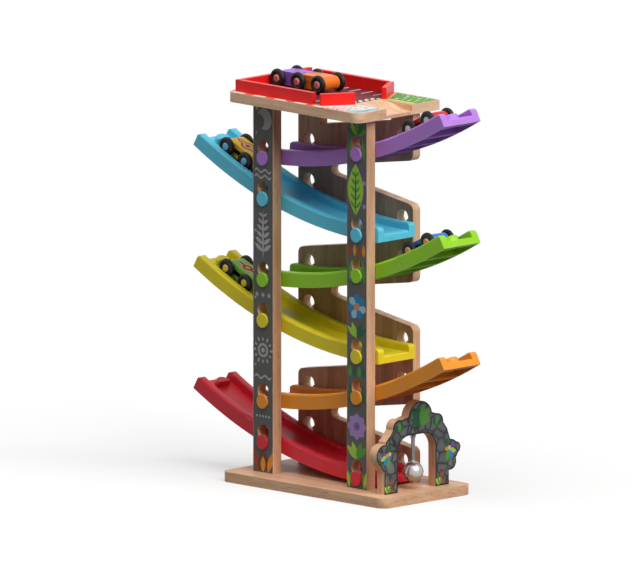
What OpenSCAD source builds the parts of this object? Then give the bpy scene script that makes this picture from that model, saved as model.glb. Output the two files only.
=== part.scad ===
// Click clack track: six curved ramps hang by pegs between two posts and a notched back panel.
// A fenced deck with a chute lies on top, and an arch with a bell stands on the base plate.
// Four flip cars are parked on the upper ramps and a two-part flip car is parked on the deck.
// X runs along the ramps, the posts stand on the -Y side and +Z is up.
// Origin: under the middle of the ramps, on the surface that the base plate stands on.

/* [Base plate] */
// Length of the base plate along X
base_l = 273; // [262:1:300]
// Width of the base plate along Y
base_w = 148; // [140:1:180]
// Thickness of the base plate
base_t = 12; // [10:0.5:14]
// Corner radius of the base plate
base_corner_r = 13; // [4:1:24]

/* [Posts and panel] */
// Width of each post
post_w = 34; // [28:1:40]
// Thickness of each post
post_t = 14; // [10:1:20]
// Rounding of the posts' upright edges
post_edge_r = 1; // [0.4:0.2:3]
// Distance between the middles of the two posts
post_pitch = 156; // [150:1:164]
// Half of the back panel's width
panel_half_w = 95.5; // [92:0.5:100]
// Thickness of the back panel
panel_t = 12; // [9:0.5:16]
// Radius of the panel's rounded corners at the notch mouths
panel_corner_r = 8; // [3:1:10]
// Radius of the round inner end of each notch
notch_r = 6; // [4:0.5:8]
// Distance from the ramps' middle to the inner end of each notch
notch_reach = 41; // [30:1:50]
// Slope of each notch edge in degrees
notch_flare_deg = 9; // [6:0.5:10]
// Drop of each notch's middle line below the ramp above it
notch_drop = 9.25; // [6:0.25:12]
// Half width of the window between the panel's top and the deck
window_half_w = 59; // [50:1:62]

/* [Ramps] */
// Width of a ramp over its walls
ramp_w = 61; // [58:0.5:70]
// Height of a ramp's side walls
ramp_h = 17.8; // [16:0.2:20]
// Height of the channel floor above the ramp's lower edge
ramp_floor = 9; // [7:0.25:10]
// Width of each side wall
ramp_wall = 10; // [8:0.25:10.5]
// Thickness of the moulded skin
ramp_skin = 2; // [1.2:0.1:2.6]
// Radius of the ramp's lower edge
ramp_r = 598; // [560:1:640]
// Slope of the ramp at its high end in degrees
ramp_rise_deg = 29.84; // [28.5:0.1:31]
// Sweep of the ramp past its lowest point in degrees
ramp_tail_deg = 1; // [0.4:0.1:1.6]
// Distance from the ramps' middle to a ramp's lowest point
ramp_centre = 88.9; // [84:0.1:94]
// Height of the lowest ramp's lowest point above the ground
ramp_low = 15.6; // [14.6:0.1:20]
// Height from one ramp to the next
ramp_pitch = 72.65; // [70:0.05:76]
// Rounding of the wall tops
wall_top_r = 2.5; // [1:0.25:4]
// Rounding of the wall ends seen from the side
wall_end_r = 5; // [2:0.5:8]
// Rounding of the floor's two end edges
lip_r = 2.5; // [1:0.25:4]
// Thickness of the cross ribs under a ramp
rib_t = 1.6; // [1:0.1:2.4]
// Distance between the cross ribs
rib_pitch = 36; // [30:1:45]
// Distance from the high end to the first rib
rib_first = 6; // [5:0.5:12]
// Width of the flip block at the high end
block_w = 21; // [16:0.5:22]
// Height of the flip block above the floor
block_h = 8.2; // [5:0.2:9]
// Distance from the high end to the flip block
block_inset = 6; // [4:0.5:12]
// Rounding of the flip block's top edge
block_edge_r = 3; // [1:0.25:4]

/* [Pegs and keyholes] */
// Height of the peg axis above the ramp's lower edge
peg_rise = 8.4; // [7.5:0.1:10]
// Diameter of the peg shank
peg_d = 10; // [8:0.5:12]
// Diameter of the peg head
peg_head_d = 17.6; // [15:0.2:17.8]
// Thickness of the peg head
peg_head_t = 2.4; // [1.6:0.1:4]
// Rounding of the peg head's edge
peg_head_edge_r = 0.9; // [0.4:0.1:1.4]
// Diameter of the keyhole that the peg head passes through
keyhole_d = 18.4; // [18:0.1:19.4]
// Height of the keyhole above the seated peg
keyhole_rise = 12.4; // [11:0.1:14]

/* [Deck] */
// Length of the deck along X
deck_l = 219.5; // [212:0.5:226]
// Width of the deck along Y
deck_w = 138; // [132:1:150]
// Thickness of the deck
deck_t = 12; // [11:0.5:16]
// Distance from the deck's right end to the high end of the ramp that its chute drops onto
drop_room = 105.15; // [100:0.05:112]
// Radius of the deck's corners
deck_corner_r = 12; // [4:1:16]
// Radius of the deck's right rear corner
deck_rear_corner_r = 3; // [1:0.5:9]
// Height of the deck's underside above the top ramp's lowest point
deck_rise = 74.75; // [72:0.05:84]
// Width of the chute
chute_w = 42.6; // [40.6:0.2:46]
// Length of the chute
chute_l = 53; // [46:1:54]
// Depth of the chute at the deck's edge
chute_drop = 8; // [5:0.25:9]

/* [Fence] */
// Thickness of the fence strips
rail_t = 6; // [4:0.5:8]
// Height of the fence strips
rail_h = 14; // [12:0.5:18]
// Distance of the fence from the deck's edge
rail_inset = 8; // [5:0.5:11]
// Right end of the front strip, from the ramps' middle
front_rail_end = 20; // [14:0.5:27]
// Gap between the left strip and the rear strip
rear_rail_gap = 10; // [6:0.5:14]
// Right end of the rear strip, from the ramps' middle
rear_rail_end = 27.5; // [20:0.5:28]
// Start of the funnel walls, from the ramps' middle
funnel_start = 31.5; // [31:0.5:36]
// End of the funnel walls, from the ramps' middle
funnel_end = 54; // [50:0.5:58]
// Distance of the funnel walls' outer end from the fence's outer line
funnel_gap = 1.5; // [0.5:0.25:4]

/* [Arch] */
// Thickness of the arch plate
arch_t = 12; // [10:0.5:16]
// Distance from the back panel's edge to the arch
arch_gap = 25; // [20:0.5:30]
// Distance from the base plate's right end to the arch
arch_setback = 20; // [16:0.5:24]
// Width of the arch opening
arch_opening_w = 63; // [56:0.5:66]
// Height of the arch opening above the base plate
arch_opening_h = 66; // [64:0.5:70]
// Radius of the opening's upper corners
arch_opening_r = 19; // [10:0.5:28]
// Width of each leg
arch_leg_w = 22; // [18:0.5:26]
// Width that the arch's outline is drawn to
arch_w = 140; // [132:1:144]
// Height above the base plate that the arch's outline is drawn to
arch_h = 106; // [102:1:116]

/* [Bell] */
// Diameter of the bell
bell_d = 24.4; // [20:0.2:26]
// Wall of the bell shells
bell_wall = 0.8; // [0.5:0.1:1.2]
// Height of the bell's middle above the base plate
bell_rise = 21; // [18:0.5:25]
// Width of the seam rim round the bell
bell_rim = 0.5; // [0.3:0.1:0.8]
// Height of each half of the seam rim
bell_rim_h = 0.9; // [0.6:0.1:1.4]
// Width of the bell's slot
bell_slot_w = 1.8; // [1.2:0.1:2.4]
// Diameter of the round holes at the slot's ends
bell_hole_d = 4; // [3:0.2:4.6]
// Diameter of the pellet inside the bell
pellet_d = 6.4; // [5:0.2:8]
// Width of the strap that carries the bell
strap_w = 4.7; // [3.5:0.1:6]
// Thickness of the strap
strap_t = 1.8; // [1.2:0.1:2.2]
// Diameter of the staple's wire
staple_d = 1.8; // [1.4:0.1:2.2]
// Drop of the staple's bar below the arch crown
staple_drop = 3; // [2.8:0.1:4]
// Depth of the staple's prongs in the arch
staple_depth = 8; // [5:0.5:12]

/* [Cars] */
// Diameter of the wheels
wheel_d = 22.6; // [20:0.2:24]
// Thickness of the round tyre
tyre_d = 5.8; // [5:0.1:6]
// Thickness of the wheel's web
web_t = 3.5; // [2.5:0.1:4]
// Distance between the middles of the two wheels on an axle
wheel_track = 32.7; // [32:0.1:33.6]
// Diameter of the coloured hub
hub_d = 8.8; // [7.6:0.2:10.4]
// Thickness of the coloured hub
hub_t = 1.3; // [1:0.1:1.6]
// Diameter of the axles
axle_d = 4; // [3:0.1:5]
// Distance between the two axles of a car
wheelbase = 33.7; // [31:0.1:36]
// Width of a car's body
car_w = 24; // [20:0.5:24.5]
// Height of a car's body
car_h = 16.5; // [13:0.5:17]
// Place of the parked cars, in degrees up the ramp
park_deg = 24.65; // [23:0.05:25]
// Gap between the left strip and the two-part car's wheels
tandem_gap = 0.9; // [0.4:0.1:10]
// Middle line of the two-part car, from the deck's middle
tandem_y = 7.5; // [4:0.5:14]

/* [Fasteners] */
// Diameter of the base screws
screw_d = 4; // [3:0.2:5]
// Length of the base screws
screw_l = 24; // [18:0.5:26]
// Diameter of the countersunk screw heads
screw_head_d = 8; // [7:0.2:9]
// Height of the countersunk screw heads
screw_head_h = 2.6; // [2:0.1:3.4]
// Depth of the screw heads below the base plate's underside
screw_sink = 0.6; // [0.3:0.1:1.2]
// Distance of the post screws from the post's middle
screw_offset = 11; // [10:0.25:12]
// Distance of the panel screws from the ramps' middle
panel_screw_x = 40; // [30:1:50]
// Diameter of the dowels under the deck and the arch
dowel_d = 8; // [6:0.2:8.6]
// Length of the dowels
dowel_l = 20; // [16:0.5:22]
// Depth of the dowels in the deck and in the base plate
dowel_depth = 8; // [5:0.5:9]
// Diameter of the fence pins
pin_d = 3; // [2:0.1:3.4]
// Length of the fence pins
pin_l = 12; // [9:0.5:14]

/* [Clearances] */
// Gap between a ramp and the post or panel beside it
ramp_play = 0.5; // [0.3:0.1:1]
// Gap round a peg shank in its slot
peg_play = 0.2; // [0.1:0.05:0.4]
// Gap between a peg head and the board behind it
head_play = 0.2; // [0.1:0.05:0.5]
// Gap between a parked wheel and the surface below it
rest_gap = 0.3; // [0.2:0.05:0.5]
// Gap round a turning axle and round the staple's bar
axle_play = 0.08; // [0.03:0.01:0.1]
// Gap round screws, dowels and pins
fit_play = 0.05; // [0.02:0.01:0.1]
// Gap between the two halves of the two-part car
knuckle_play = 0.6; // [0.4:0.1:1]

/* [Hidden] */
$fn = 96;
// Overrun of every cut
over = 1;
// Depth to which pieces moulded in one sink into each other
sink = 0.6;
ramp_count = 6;
RAMP_COLOURS = ["mediumpurple", "deepskyblue", "yellowgreen", "gold", "darkorange", "crimson"];
WOOD = "burlywood";
STEEL = "silver";
BLACK = "#222222";
RAIL_RED = "#e02020";

base_right = panel_half_w + arch_gap + arch_t + arch_setback;
base_left = base_l - base_right;
base_mid_x = base_l / 2 - base_left;
post_x = post_pitch / 2;
board_face = ramp_w / 2 + ramp_play;
post_y = -board_face - post_t / 2;
panel_y = board_face + panel_t / 2;
// Height of each ramp's lowest point, counted from the top ramp
function level_z(k) = ramp_low + (ramp_count - 1 - k) * ramp_pitch;
deck_z = level_z(0) + deck_rise;
post_h = deck_z - base_t;
deck_top = deck_z + deck_t;
ramp_reach = ramp_r * sin(ramp_rise_deg) - ramp_centre;
deck_right = ramp_reach - drop_room;
deck_left = deck_l - deck_right;
deck_mid_x = deck_l / 2 - deck_left;
deck_corners = [deck_corner_r, deck_corner_r, deck_rear_corner_r, deck_corner_r];

// Radii and lengths along the ramp's arc
channel_w = ramp_w - 2 * ramp_wall;
top_r = ramp_r - ramp_h;
floor_r = ramp_r - ramp_floor;
function arc_deg(len) = len / ramp_r * 180 / PI;
ramp_len = (ramp_rise_deg + ramp_tail_deg) * PI / 180 * ramp_r;
rib_count = floor((ramp_len - ramp_skin - rib_first - rib_t) / rib_pitch) + 1;
function rib_at(i) = rib_first + i * rib_pitch;

// Height of a peg above its ramp's lowest point, at a distance towards the low end
function peg_local_z(x) = ramp_r - sqrt(pow(ramp_r - peg_rise, 2) - pow(x - ramp_centre, 2));
function peg_z(k, x) = level_z(k) + peg_local_z(k % 2 == 0 ? -x : x);

// Notch edges
notch_centre = notch_r - notch_reach;
notch_touch_x = notch_centre - notch_r * sin(notch_flare_deg);
notch_touch_z = notch_r * cos(notch_flare_deg);
function notch_half_h(x) = notch_touch_z + tan(notch_flare_deg) * (x - notch_touch_x);
function notch_z(k) = level_z(k) - notch_drop;

// Fence and funnel
fence_y = deck_w / 2 - rail_inset;
fence_x = deck_left - rail_inset;
funnel_start_y = fence_y - funnel_gap;
funnel_end_y = chute_w / 2 + rail_t / 2;
funnel_dx = funnel_end - funnel_start;
funnel_dy = funnel_start_y - funnel_end_y;
funnel_l = sqrt(funnel_dx * funnel_dx + funnel_dy * funnel_dy);
funnel_deg = atan2(funnel_dy, funnel_dx);
left_rail_l = 2 * fence_y - rail_t;
front_rail_l = front_rail_end + fence_x;
rear_rail_l = rear_rail_end + fence_x - rail_t - rear_rail_gap;
pin_place_shares = [0.2, 0.8];

// Arch outline: a crag and round lobes as shares of the arch's width and height
arch_crag_shares = [
    [0.371, 0.42], [0.4, 0.5], [0.361, 0.637], [0.307, 0.726], [0.264, 0.802], [0.171, 0.849],
    [-0.086, 0.835], [-0.229, 0.797], [-0.268, 0.731], [-0.307, 0.664], [-0.364, 0.592], [-0.371, 0.42]
];
arch_lobe_shares = [
    [0.044, 0.805, 0.1414], [-0.211, 0.728, 0.068], [0.246, 0.728, 0.07],
    [-0.38, 0.44, 0.095], [-0.35, 0.35, 0.075], [0.4, 0.38, 0.095], [0.4, 0.25, 0.07], [0.47, 0.4, 0.05]
];
arch_leg_top_share = 0.45;
arch_x = panel_half_w + arch_gap + arch_t / 2;
arch_leg_x = arch_opening_w / 2 + arch_leg_w / 2;
crown_z = base_t + arch_opening_h;

// Bell
bell_r = bell_d / 2;
bell_z = base_t + bell_rise;
pivot_z = crown_z - staple_drop;
eye_wall_share = 0.75;
eye_r = staple_d / 2 + axle_play + strap_t * eye_wall_share;
neck_r = strap_w / 2;
neck_h = strap_t;
prong_y = strap_w / 2 + staple_d;
bell_hole_deg = 35;

// Cars
wheel_r = wheel_d / 2;
axle_r = axle_d / 2;
hub_edge = hub_t / 2;
hub_seat = hub_t / 2;
axle_radius = floor_r - wheel_r - rest_gap;
axle_drop = sqrt(axle_radius * axle_radius - wheelbase * wheelbase / 4);
tandem_x = rail_t - fence_x + tandem_gap + wheel_r + wheelbase;
tandem_z = deck_top + wheel_r + rest_gap;
web_face = wheel_track / 2 + web_t / 2;

// Base screws and dowels
post_screws = [for (x = [-post_x, post_x]) for (s = [-1, 1]) [x + s * screw_offset, post_y]];
panel_screws = [for (x = [-panel_screw_x, panel_screw_x]) [x, panel_y]];
dowel_hole_d = dowel_d + 2 * fit_play;
deck_dowel_z = deck_z - dowel_l + dowel_depth;
deck_dowel_places = [for (x = [-post_x, post_x]) for (y = [post_y, panel_y]) [x, y]];
arch_dowel_places = [for (s = [-1, 1]) [arch_x, s * arch_leg_x]];

// Flat outline with a radius for each corner: front left, front right, rear right, rear left
module plate_outline(l, w, radii) {
    corners = [[-l / 2, -w / 2], [l / 2, -w / 2], [l / 2, w / 2], [-l / 2, w / 2]];
    difference() {
        square([l, w], center = true);
        for (i = [0 : 3])
            translate(corners[i])
                square(2 * radii[i], center = true);
    }
    for (i = [0 : 3]) {
        inward = [-sign(corners[i][0]), -sign(corners[i][1])];
        translate(corners[i] + inward * radii[i])
            circle(radii[i]);
    }
}

// Upright round hole or rod at a list of places
module rods(places, d, z, h) {
    for (p = places)
        translate([p[0], p[1], z])
            cylinder(d = d, h = h);
}

// Round rod along Y, centred
module cross_rod(d, l) {
    rotate([90, 0, 0])
        cylinder(d = d, h = l, center = true);
}

// Places of a ramp: its own frame has the lowest point of the arc at ramp_centre, high end at -X
module on_level(k) {
    translate([0, 0, level_z(k)]) {
        if (k % 2 == 0)
            mirror([1, 0, 0])
                children();
        else
            children();
    }
}

// Frame at an angle up the ramp: X downhill along the ramp, Z towards the arc's centre
module at_arc(deg) {
    translate([ramp_centre, 0, ramp_r])
        rotate([0, deg, 0])
            children();
}

// Sweep of a section, drawn as radius and width, between two angles up the ramp
module arc_sweep(from_deg, to_deg) {
    translate([ramp_centre, 0, ramp_r])
        rotate([90, 0, 0])
            rotate([0, 0, -90 - to_deg])
                rotate_extrude(angle = to_deg - from_deg)
                    children();
}

// Section of one side wall with a rounded top
module wall_section() {
    translate([top_r + wall_top_r, 0])
        square([ramp_h - wall_top_r, ramp_wall]);
    translate([top_r, wall_top_r])
        square([ramp_h, ramp_wall - 2 * wall_top_r]);
    for (y = [wall_top_r, ramp_wall - wall_top_r])
        translate([top_r + wall_top_r, y])
            circle(wall_top_r);
}

// Outer section of a ramp
module ramp_section() {
    translate([floor_r, -ramp_w / 2])
        square([ramp_floor, ramp_w]);
    for (y = [-ramp_w / 2, ramp_w / 2 - ramp_wall])
        translate([0, y])
            wall_section();
}

// Section of the hollow under a ramp
module hollow_section() {
    translate([floor_r + ramp_skin, ramp_skin - ramp_w / 2])
        square([ramp_floor - ramp_skin + over, ramp_w - 2 * ramp_skin]);
    for (y = [-ramp_w / 2, ramp_w / 2 - ramp_wall])
        translate([top_r + ramp_skin, y + ramp_skin])
            square([ramp_h - ramp_skin + over, ramp_wall - 2 * ramp_skin]);
}

// Hollow bays between the cross ribs
module ramp_bays() {
    for (j = [0 : rib_count]) {
        start = j == 0 ? ramp_skin : rib_at(j - 1) + rib_t / 2;
        end = j == rib_count ? ramp_len - ramp_skin : rib_at(j) - rib_t / 2;
        arc_sweep(ramp_rise_deg - arc_deg(end), ramp_rise_deg - arc_deg(start))
            hollow_section();
    }
}

// Cut that rounds the upper end edge of a body lying on the +X side of the end plane
module end_rounding(r, top, w) {
    difference() {
        translate([-over, -w / 2, -top - r])
            cube([r + over, w, r + over]);
        translate([r, 0, -top - r])
            cross_rod(2 * r, w + 2 * over);
    }
}

// Roundings of the wall ends and of the floor's end edges
module ramp_end_cuts() {
    for (e = [[ramp_rise_deg, 0], [-ramp_tail_deg, 180]])
        at_arc(e[0])
            rotate([0, 0, e[1]]) {
                end_rounding(wall_end_r, top_r, ramp_w + 2 * over);
                end_rounding(lip_r, floor_r, channel_w);
            }
}

// Half-round block that tips a landing car over
module flip_block() {
    block_r = block_w / 2;
    at_arc(ramp_rise_deg - arc_deg(block_inset + block_r))
        translate([0, 0, -floor_r - sink])
            rotate([0, 0, 90])
                rotate_extrude(angle = 180) {
                    square([block_r - block_edge_r, block_h + sink]);
                    square([block_r, block_h + sink - block_edge_r]);
                    translate([block_r - block_edge_r, block_h + sink - block_edge_r])
                        circle(block_edge_r);
                }
}

// Peg with a round head, from the ramp's skin through a board of the given thickness
module peg(board_t) {
    reach = ramp_play + board_t + head_play;
    head_r = peg_head_d / 2;
    translate([0, 0, ramp_w / 2 - ramp_skin])
        cylinder(d = peg_d, h = ramp_skin + reach + peg_head_t / 2);
    translate([0, 0, ramp_w / 2 + reach])
        rotate_extrude() {
            square([head_r, peg_head_t - peg_head_edge_r]);
            square([head_r - peg_head_edge_r, peg_head_t]);
            translate([head_r - peg_head_edge_r, peg_head_t - peg_head_edge_r])
                circle(peg_head_edge_r);
        }
}

// Four pegs of a ramp
module ramp_pegs() {
    for (x = [-post_x, post_x])
        translate([x, 0, peg_local_z(x)]) {
            rotate([90, 0, 0])
                peg(post_t);
            rotate([-90, 0, 0])
                peg(panel_t);
        }
}

// One moulded ramp
module ramp(k) {
    color(RAMP_COLOURS[k])
        on_level(k) {
            difference() {
                arc_sweep(-ramp_tail_deg, ramp_rise_deg)
                    ramp_section();
                ramp_bays();
                ramp_end_cuts();
            }
            flip_block();
            ramp_pegs();
        }
}

// Keyholes for all ramps at one side, cut along Y through a board
module keyholes(x, y, t) {
    for (k = [0 : ramp_count - 1])
        translate([x, y, peg_z(k, x)]) {
            slot_w = peg_d + 2 * peg_play;
            cross_rod(slot_w, t + 2 * over);
            translate([-slot_w / 2, -t / 2 - over, 0])
                cube([slot_w, t + 2 * over, keyhole_rise]);
            translate([0, 0, keyhole_rise])
                cross_rod(keyhole_d, t + 2 * over);
        }
}

// Screw, head down
module screw(play) {
    head_r = screw_head_d / 2 + play;
    shank_r = screw_d / 2 + play;
    tip = screw_l + play;
    rotate_extrude()
        polygon([[0, 0], [head_r, 0], [shank_r, screw_head_h], [shank_r, tip], [0, tip]]);
}

module base_plate() {
    color(WOOD)
        difference() {
            translate([base_mid_x, 0, 0])
                linear_extrude(base_t)
                    plate_outline(base_l, base_w, [for (i = [0 : 3]) base_corner_r]);
            for (p = concat(post_screws, panel_screws))
                translate([p[0], p[1], screw_sink]) {
                    screw(fit_play);
                    translate([0, 0, -screw_sink - over])
                        cylinder(d = screw_head_d + 2 * fit_play, h = screw_sink + over);
                }
            rods(arch_dowel_places, dowel_hole_d,
                base_t - dowel_depth - fit_play, dowel_depth + fit_play + over);
        }
}

module post(x) {
    color(WOOD)
        difference() {
            translate([x, post_y, base_t])
                linear_extrude(post_h)
                    plate_outline(post_w, post_t, [for (i = [0 : 3]) post_edge_r]);
            keyholes(x, post_y, post_t);
            for (p = post_screws)
                translate([p[0], p[1], screw_sink])
                    screw(fit_play);
            rods(deck_dowel_places, dowel_hole_d, deck_dowel_z - fit_play, dowel_l);
        }
}

module left_post() {
    post(-post_x);
}

module right_post() {
    post(post_x);
}

// Rounding of the panel's corner above a notch mouth
module notch_corner() {
    edge = notch_half_h(panel_half_w);
    centre_x = panel_half_w - panel_corner_r;
    centre_z = notch_half_h(centre_x) + panel_corner_r / cos(notch_flare_deg);
    touch_x = centre_x + panel_corner_r * sin(notch_flare_deg);
    touch_z = centre_z - panel_corner_r * cos(notch_flare_deg);
    difference() {
        polygon([
            [centre_x, centre_z],
            [panel_half_w + over, centre_z],
            [panel_half_w + over, edge],
            [touch_x, touch_z]
        ]);
        translate([centre_x, centre_z])
            circle(panel_corner_r);
    }
}

// Tapered notch that opens to +X, about its middle line
module notch_outline() {
    mouth = panel_half_w + over;
    translate([notch_centre, 0])
        circle(notch_r);
    polygon([
        [notch_touch_x, notch_touch_z],
        [mouth, notch_half_h(mouth)],
        [mouth, -notch_half_h(mouth)],
        [notch_touch_x, -notch_touch_z]
    ]);
    notch_corner();
    mirror([0, 1])
        notch_corner();
}

// Window between the panel's two upper tabs
module window_outline() {
    middle = notch_z(0) + ramp_pitch;
    polygon([
        [-window_half_w, middle - notch_half_h(window_half_w)],
        [window_half_w, middle - notch_half_h(-window_half_w)],
        [window_half_w, deck_z + over],
        [-window_half_w, deck_z + over]
    ]);
}

module panel_outline() {
    difference() {
        translate([-panel_half_w, base_t])
            square([2 * panel_half_w, post_h]);
        for (k = [0 : ramp_count - 2])
            translate([0, notch_z(k)])
                mirror([k % 2, 0])
                    notch_outline();
        window_outline();
    }
}

module back_panel() {
    color("saddlebrown")
        difference() {
            translate([0, panel_y + panel_t / 2, 0])
                rotate([90, 0, 0])
                    linear_extrude(panel_t)
                        panel_outline();
            for (x = [-post_x, post_x])
                keyholes(x, panel_y, panel_t);
            for (p = panel_screws)
                translate([p[0], p[1], screw_sink])
                    screw(fit_play);
            rods(deck_dowel_places, dowel_hole_d, deck_dowel_z - fit_play, dowel_l);
        }
}

// Chute: a convex arc and then a concave arc down to the deck's right edge
module chute_cut() {
    half_l = chute_l / 2;
    half_drop = chute_drop / 2;
    curve_r = (half_l * half_l + half_drop * half_drop) / chute_drop;
    start_x = deck_right - chute_l;
    difference() {
        translate([start_x, -chute_w / 2, deck_top - half_drop])
            cube([half_l, chute_w, half_drop + over]);
        translate([start_x, 0, deck_top - curve_r])
            cross_rod(2 * curve_r, chute_w + 2 * over);
    }
    intersection() {
        translate([start_x + half_l, -chute_w / 2, deck_top - chute_drop])
            cube([half_l + over, chute_w, chute_drop + over]);
        union() {
            translate([deck_right, 0, deck_top - chute_drop + curve_r])
                cross_rod(2 * curve_r, chute_w + 2 * over);
            translate([deck_right, -chute_w / 2, deck_top - chute_drop])
                cube([over, chute_w, chute_drop + over]);
        }
    }
}

module top_deck() {
    color(WOOD)
        difference() {
            translate([deck_mid_x, 0, deck_z])
                linear_extrude(deck_t)
                    plate_outline(deck_l, deck_w, deck_corners);
            chute_cut();
            rods(deck_dowel_places, dowel_hole_d, deck_z - over, dowel_depth + over + fit_play);
            rail_pin_rods(fit_play);
        }
}

module purple_ramp() {
    ramp(0);
}

module blue_ramp() {
    ramp(1);
}

module green_ramp() {
    ramp(2);
}

module yellow_ramp() {
    ramp(3);
}

module orange_ramp() {
    ramp(4);
}

module red_ramp() {
    ramp(5);
}

// Frames of the five fence strips: each strip's own X runs along it from its start
module at_left_rail() {
    translate([rail_t / 2 - fence_x, rail_t - fence_y, deck_top])
        rotate([0, 0, 90])
            children();
}

module at_front_rail() {
    translate([-fence_x, rail_t / 2 - fence_y, deck_top])
        children();
}

module at_rear_rail() {
    translate([rail_t - fence_x + rear_rail_gap, fence_y - rail_t / 2, deck_top])
        children();
}

module at_funnel_rail(side) {
    translate([funnel_start, side * funnel_start_y, deck_top])
        rotate([0, 0, -side * funnel_deg])
            children();
}

// Pins under one strip
module strip_pins(l, play) {
    for (s = pin_place_shares)
        translate([s * l, 0, -pin_l / 2 - play])
            cylinder(d = pin_d + 2 * play, h = pin_l + 2 * play);
}

module rail_pin_rods(play) {
    at_left_rail()
        strip_pins(left_rail_l, play);
    at_front_rail()
        strip_pins(front_rail_l, play);
    at_rear_rail()
        strip_pins(rear_rail_l, play);
    for (side = [-1, 1])
        at_funnel_rail(side)
            strip_pins(funnel_l, play);
}

// One fence strip with the holes for its pins
module strip(l) {
    color(RAIL_RED)
        difference() {
            translate([0, -rail_t / 2, 0])
                cube([l, rail_t, rail_h]);
            strip_pins(l, fit_play);
        }
}

module left_end_rail() {
    at_left_rail()
        strip(left_rail_l);
}

module front_rail() {
    at_front_rail()
        strip(front_rail_l);
}

module rear_rail() {
    at_rear_rail()
        strip(rear_rail_l);
}

module front_funnel_rail() {
    at_funnel_rail(-1)
        strip(funnel_l);
}

module rear_funnel_rail() {
    at_funnel_rail(1)
        strip(funnel_l);
}

// Arch seen from +X: width to the right and height up, from the base plate's top
module arch_outline() {
    difference() {
        union() {
            for (s = arch_lobe_shares)
                translate([s[0] * arch_w, s[1] * arch_h])
                    circle(s[2] * arch_w);
            polygon([for (s = arch_crag_shares) [s[0] * arch_w, s[1] * arch_h]]);
            for (side = [-1, 1])
                translate([side * arch_leg_x - arch_leg_w / 2, 0])
                    square([arch_leg_w, arch_leg_top_share * arch_h]);
        }
        translate([-arch_opening_w / 2, -over])
            square([arch_opening_w, arch_opening_h - arch_opening_r + over]);
        translate([arch_opening_r - arch_opening_w / 2, 0])
            square([arch_opening_w - 2 * arch_opening_r, arch_opening_h]);
        for (side = [-1, 1])
            translate([side * (arch_opening_w / 2 - arch_opening_r), arch_opening_h - arch_opening_r])
                circle(arch_opening_r);
    }
}

// Prongs of the staple
module staple_prongs(play, depth) {
    for (side = [-1, 1])
        translate([arch_x, side * prong_y, pivot_z])
            cylinder(d = staple_d + 2 * play, h = staple_drop + depth + play);
}

module arch() {
    color("darkslategray")
        difference() {
            translate([arch_x - arch_t / 2, 0, base_t])
                rotate([90, 0, 90])
                    linear_extrude(arch_t)
                        arch_outline();
            staple_prongs(fit_play, staple_depth);
            rods(arch_dowel_places, dowel_hole_d,
                base_t - over, dowel_l - dowel_depth + over + fit_play);
        }
}

module bell_staple() {
    color(STEEL) {
        staple_prongs(0, staple_depth);
        translate([arch_x, 0, pivot_z])
            cross_rod(staple_d, 2 * prong_y);
        for (side = [-1, 1])
            translate([arch_x, side * prong_y, pivot_z])
                sphere(d = staple_d);
    }
}

module bell_strap() {
    foot_z = bell_z + bell_r + neck_h;
    color(STEEL)
        difference() {
            union() {
                translate([arch_x, 0, pivot_z])
                    cross_rod(2 * eye_r, strap_w);
                translate([arch_x - strap_t / 2, -strap_w / 2, foot_z])
                    cube([strap_t, strap_w, pivot_z - foot_z]);
            }
            translate([arch_x, 0, pivot_z])
                cross_rod(staple_d + 2 * axle_play, strap_w + 2 * over);
        }
}

// Half of a hollow ball with a seam rim, upper half
module bell_half() {
    size = 2 * (bell_r + over);
    difference() {
        union() {
            intersection() {
                sphere(bell_r);
                translate([-size / 2, -size / 2, 0])
                    cube([size, size, size]);
            }
            cylinder(r = bell_r + bell_rim, h = bell_rim_h);
        }
        sphere(bell_r - bell_wall);
    }
}

module bell_upper_shell() {
    color(STEEL)
        translate([arch_x, 0, bell_z]) {
            bell_half();
            translate([0, 0, bell_r - bell_wall])
                cylinder(r = neck_r, h = bell_wall + neck_h);
        }
}

module bell_lower_shell() {
    slot_l = 2 * bell_r * cos(bell_hole_deg);
    color(STEEL)
        translate([arch_x, 0, bell_z])
            difference() {
                mirror([0, 0, 1])
                    bell_half();
                translate([-bell_slot_w / 2, -slot_l / 2, -bell_d])
                    cube([bell_slot_w, slot_l, bell_d - bell_r * sin(bell_hole_deg)]);
                for (side = [-1, 1])
                    rotate([side * (90 + bell_hole_deg), 0, 0])
                        cylinder(d = bell_hole_d, h = bell_d);
            }
}

module bell_pellet() {
    color(STEEL)
        translate([arch_x, 0, bell_z - bell_r + bell_wall + pellet_d / 2 + fit_play])
            sphere(d = pellet_d);
}

module base_screws() {
    color(STEEL)
        for (p = concat(post_screws, panel_screws))
            translate([p[0], p[1], screw_sink])
                screw(0);
}

module deck_dowels() {
    color(WOOD)
        rods(deck_dowel_places, dowel_d, deck_dowel_z, dowel_l);
}

module arch_dowels() {
    color(WOOD)
        rods(arch_dowel_places, dowel_d, base_t - dowel_depth, dowel_l);
}

module rail_pins() {
    color(WOOD)
        rail_pin_rods(0);
}

// Car parts: the car's own frame has X downhill, and its origin between its axles
module car_place(k) {
    on_level(k)
        at_arc(park_deg)
            translate([0, 0, -axle_drop])
                children();
}

// Side of a body with round ends about two axles
module body_outline() {
    square([wheelbase, car_h], center = true);
    for (s = [-1, 1])
        translate([s * wheelbase / 2, 0])
            circle(d = car_h);
}

module car_body(colour) {
    color(colour)
        difference() {
            rotate([90, 0, 0])
                linear_extrude(car_w, center = true)
                    body_outline();
            for (s = [-1, 1])
                translate([s * wheelbase / 2, 0, 0])
                    cross_rod(axle_d + 2 * axle_play, car_w + 2 * over);
        }
}

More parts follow.
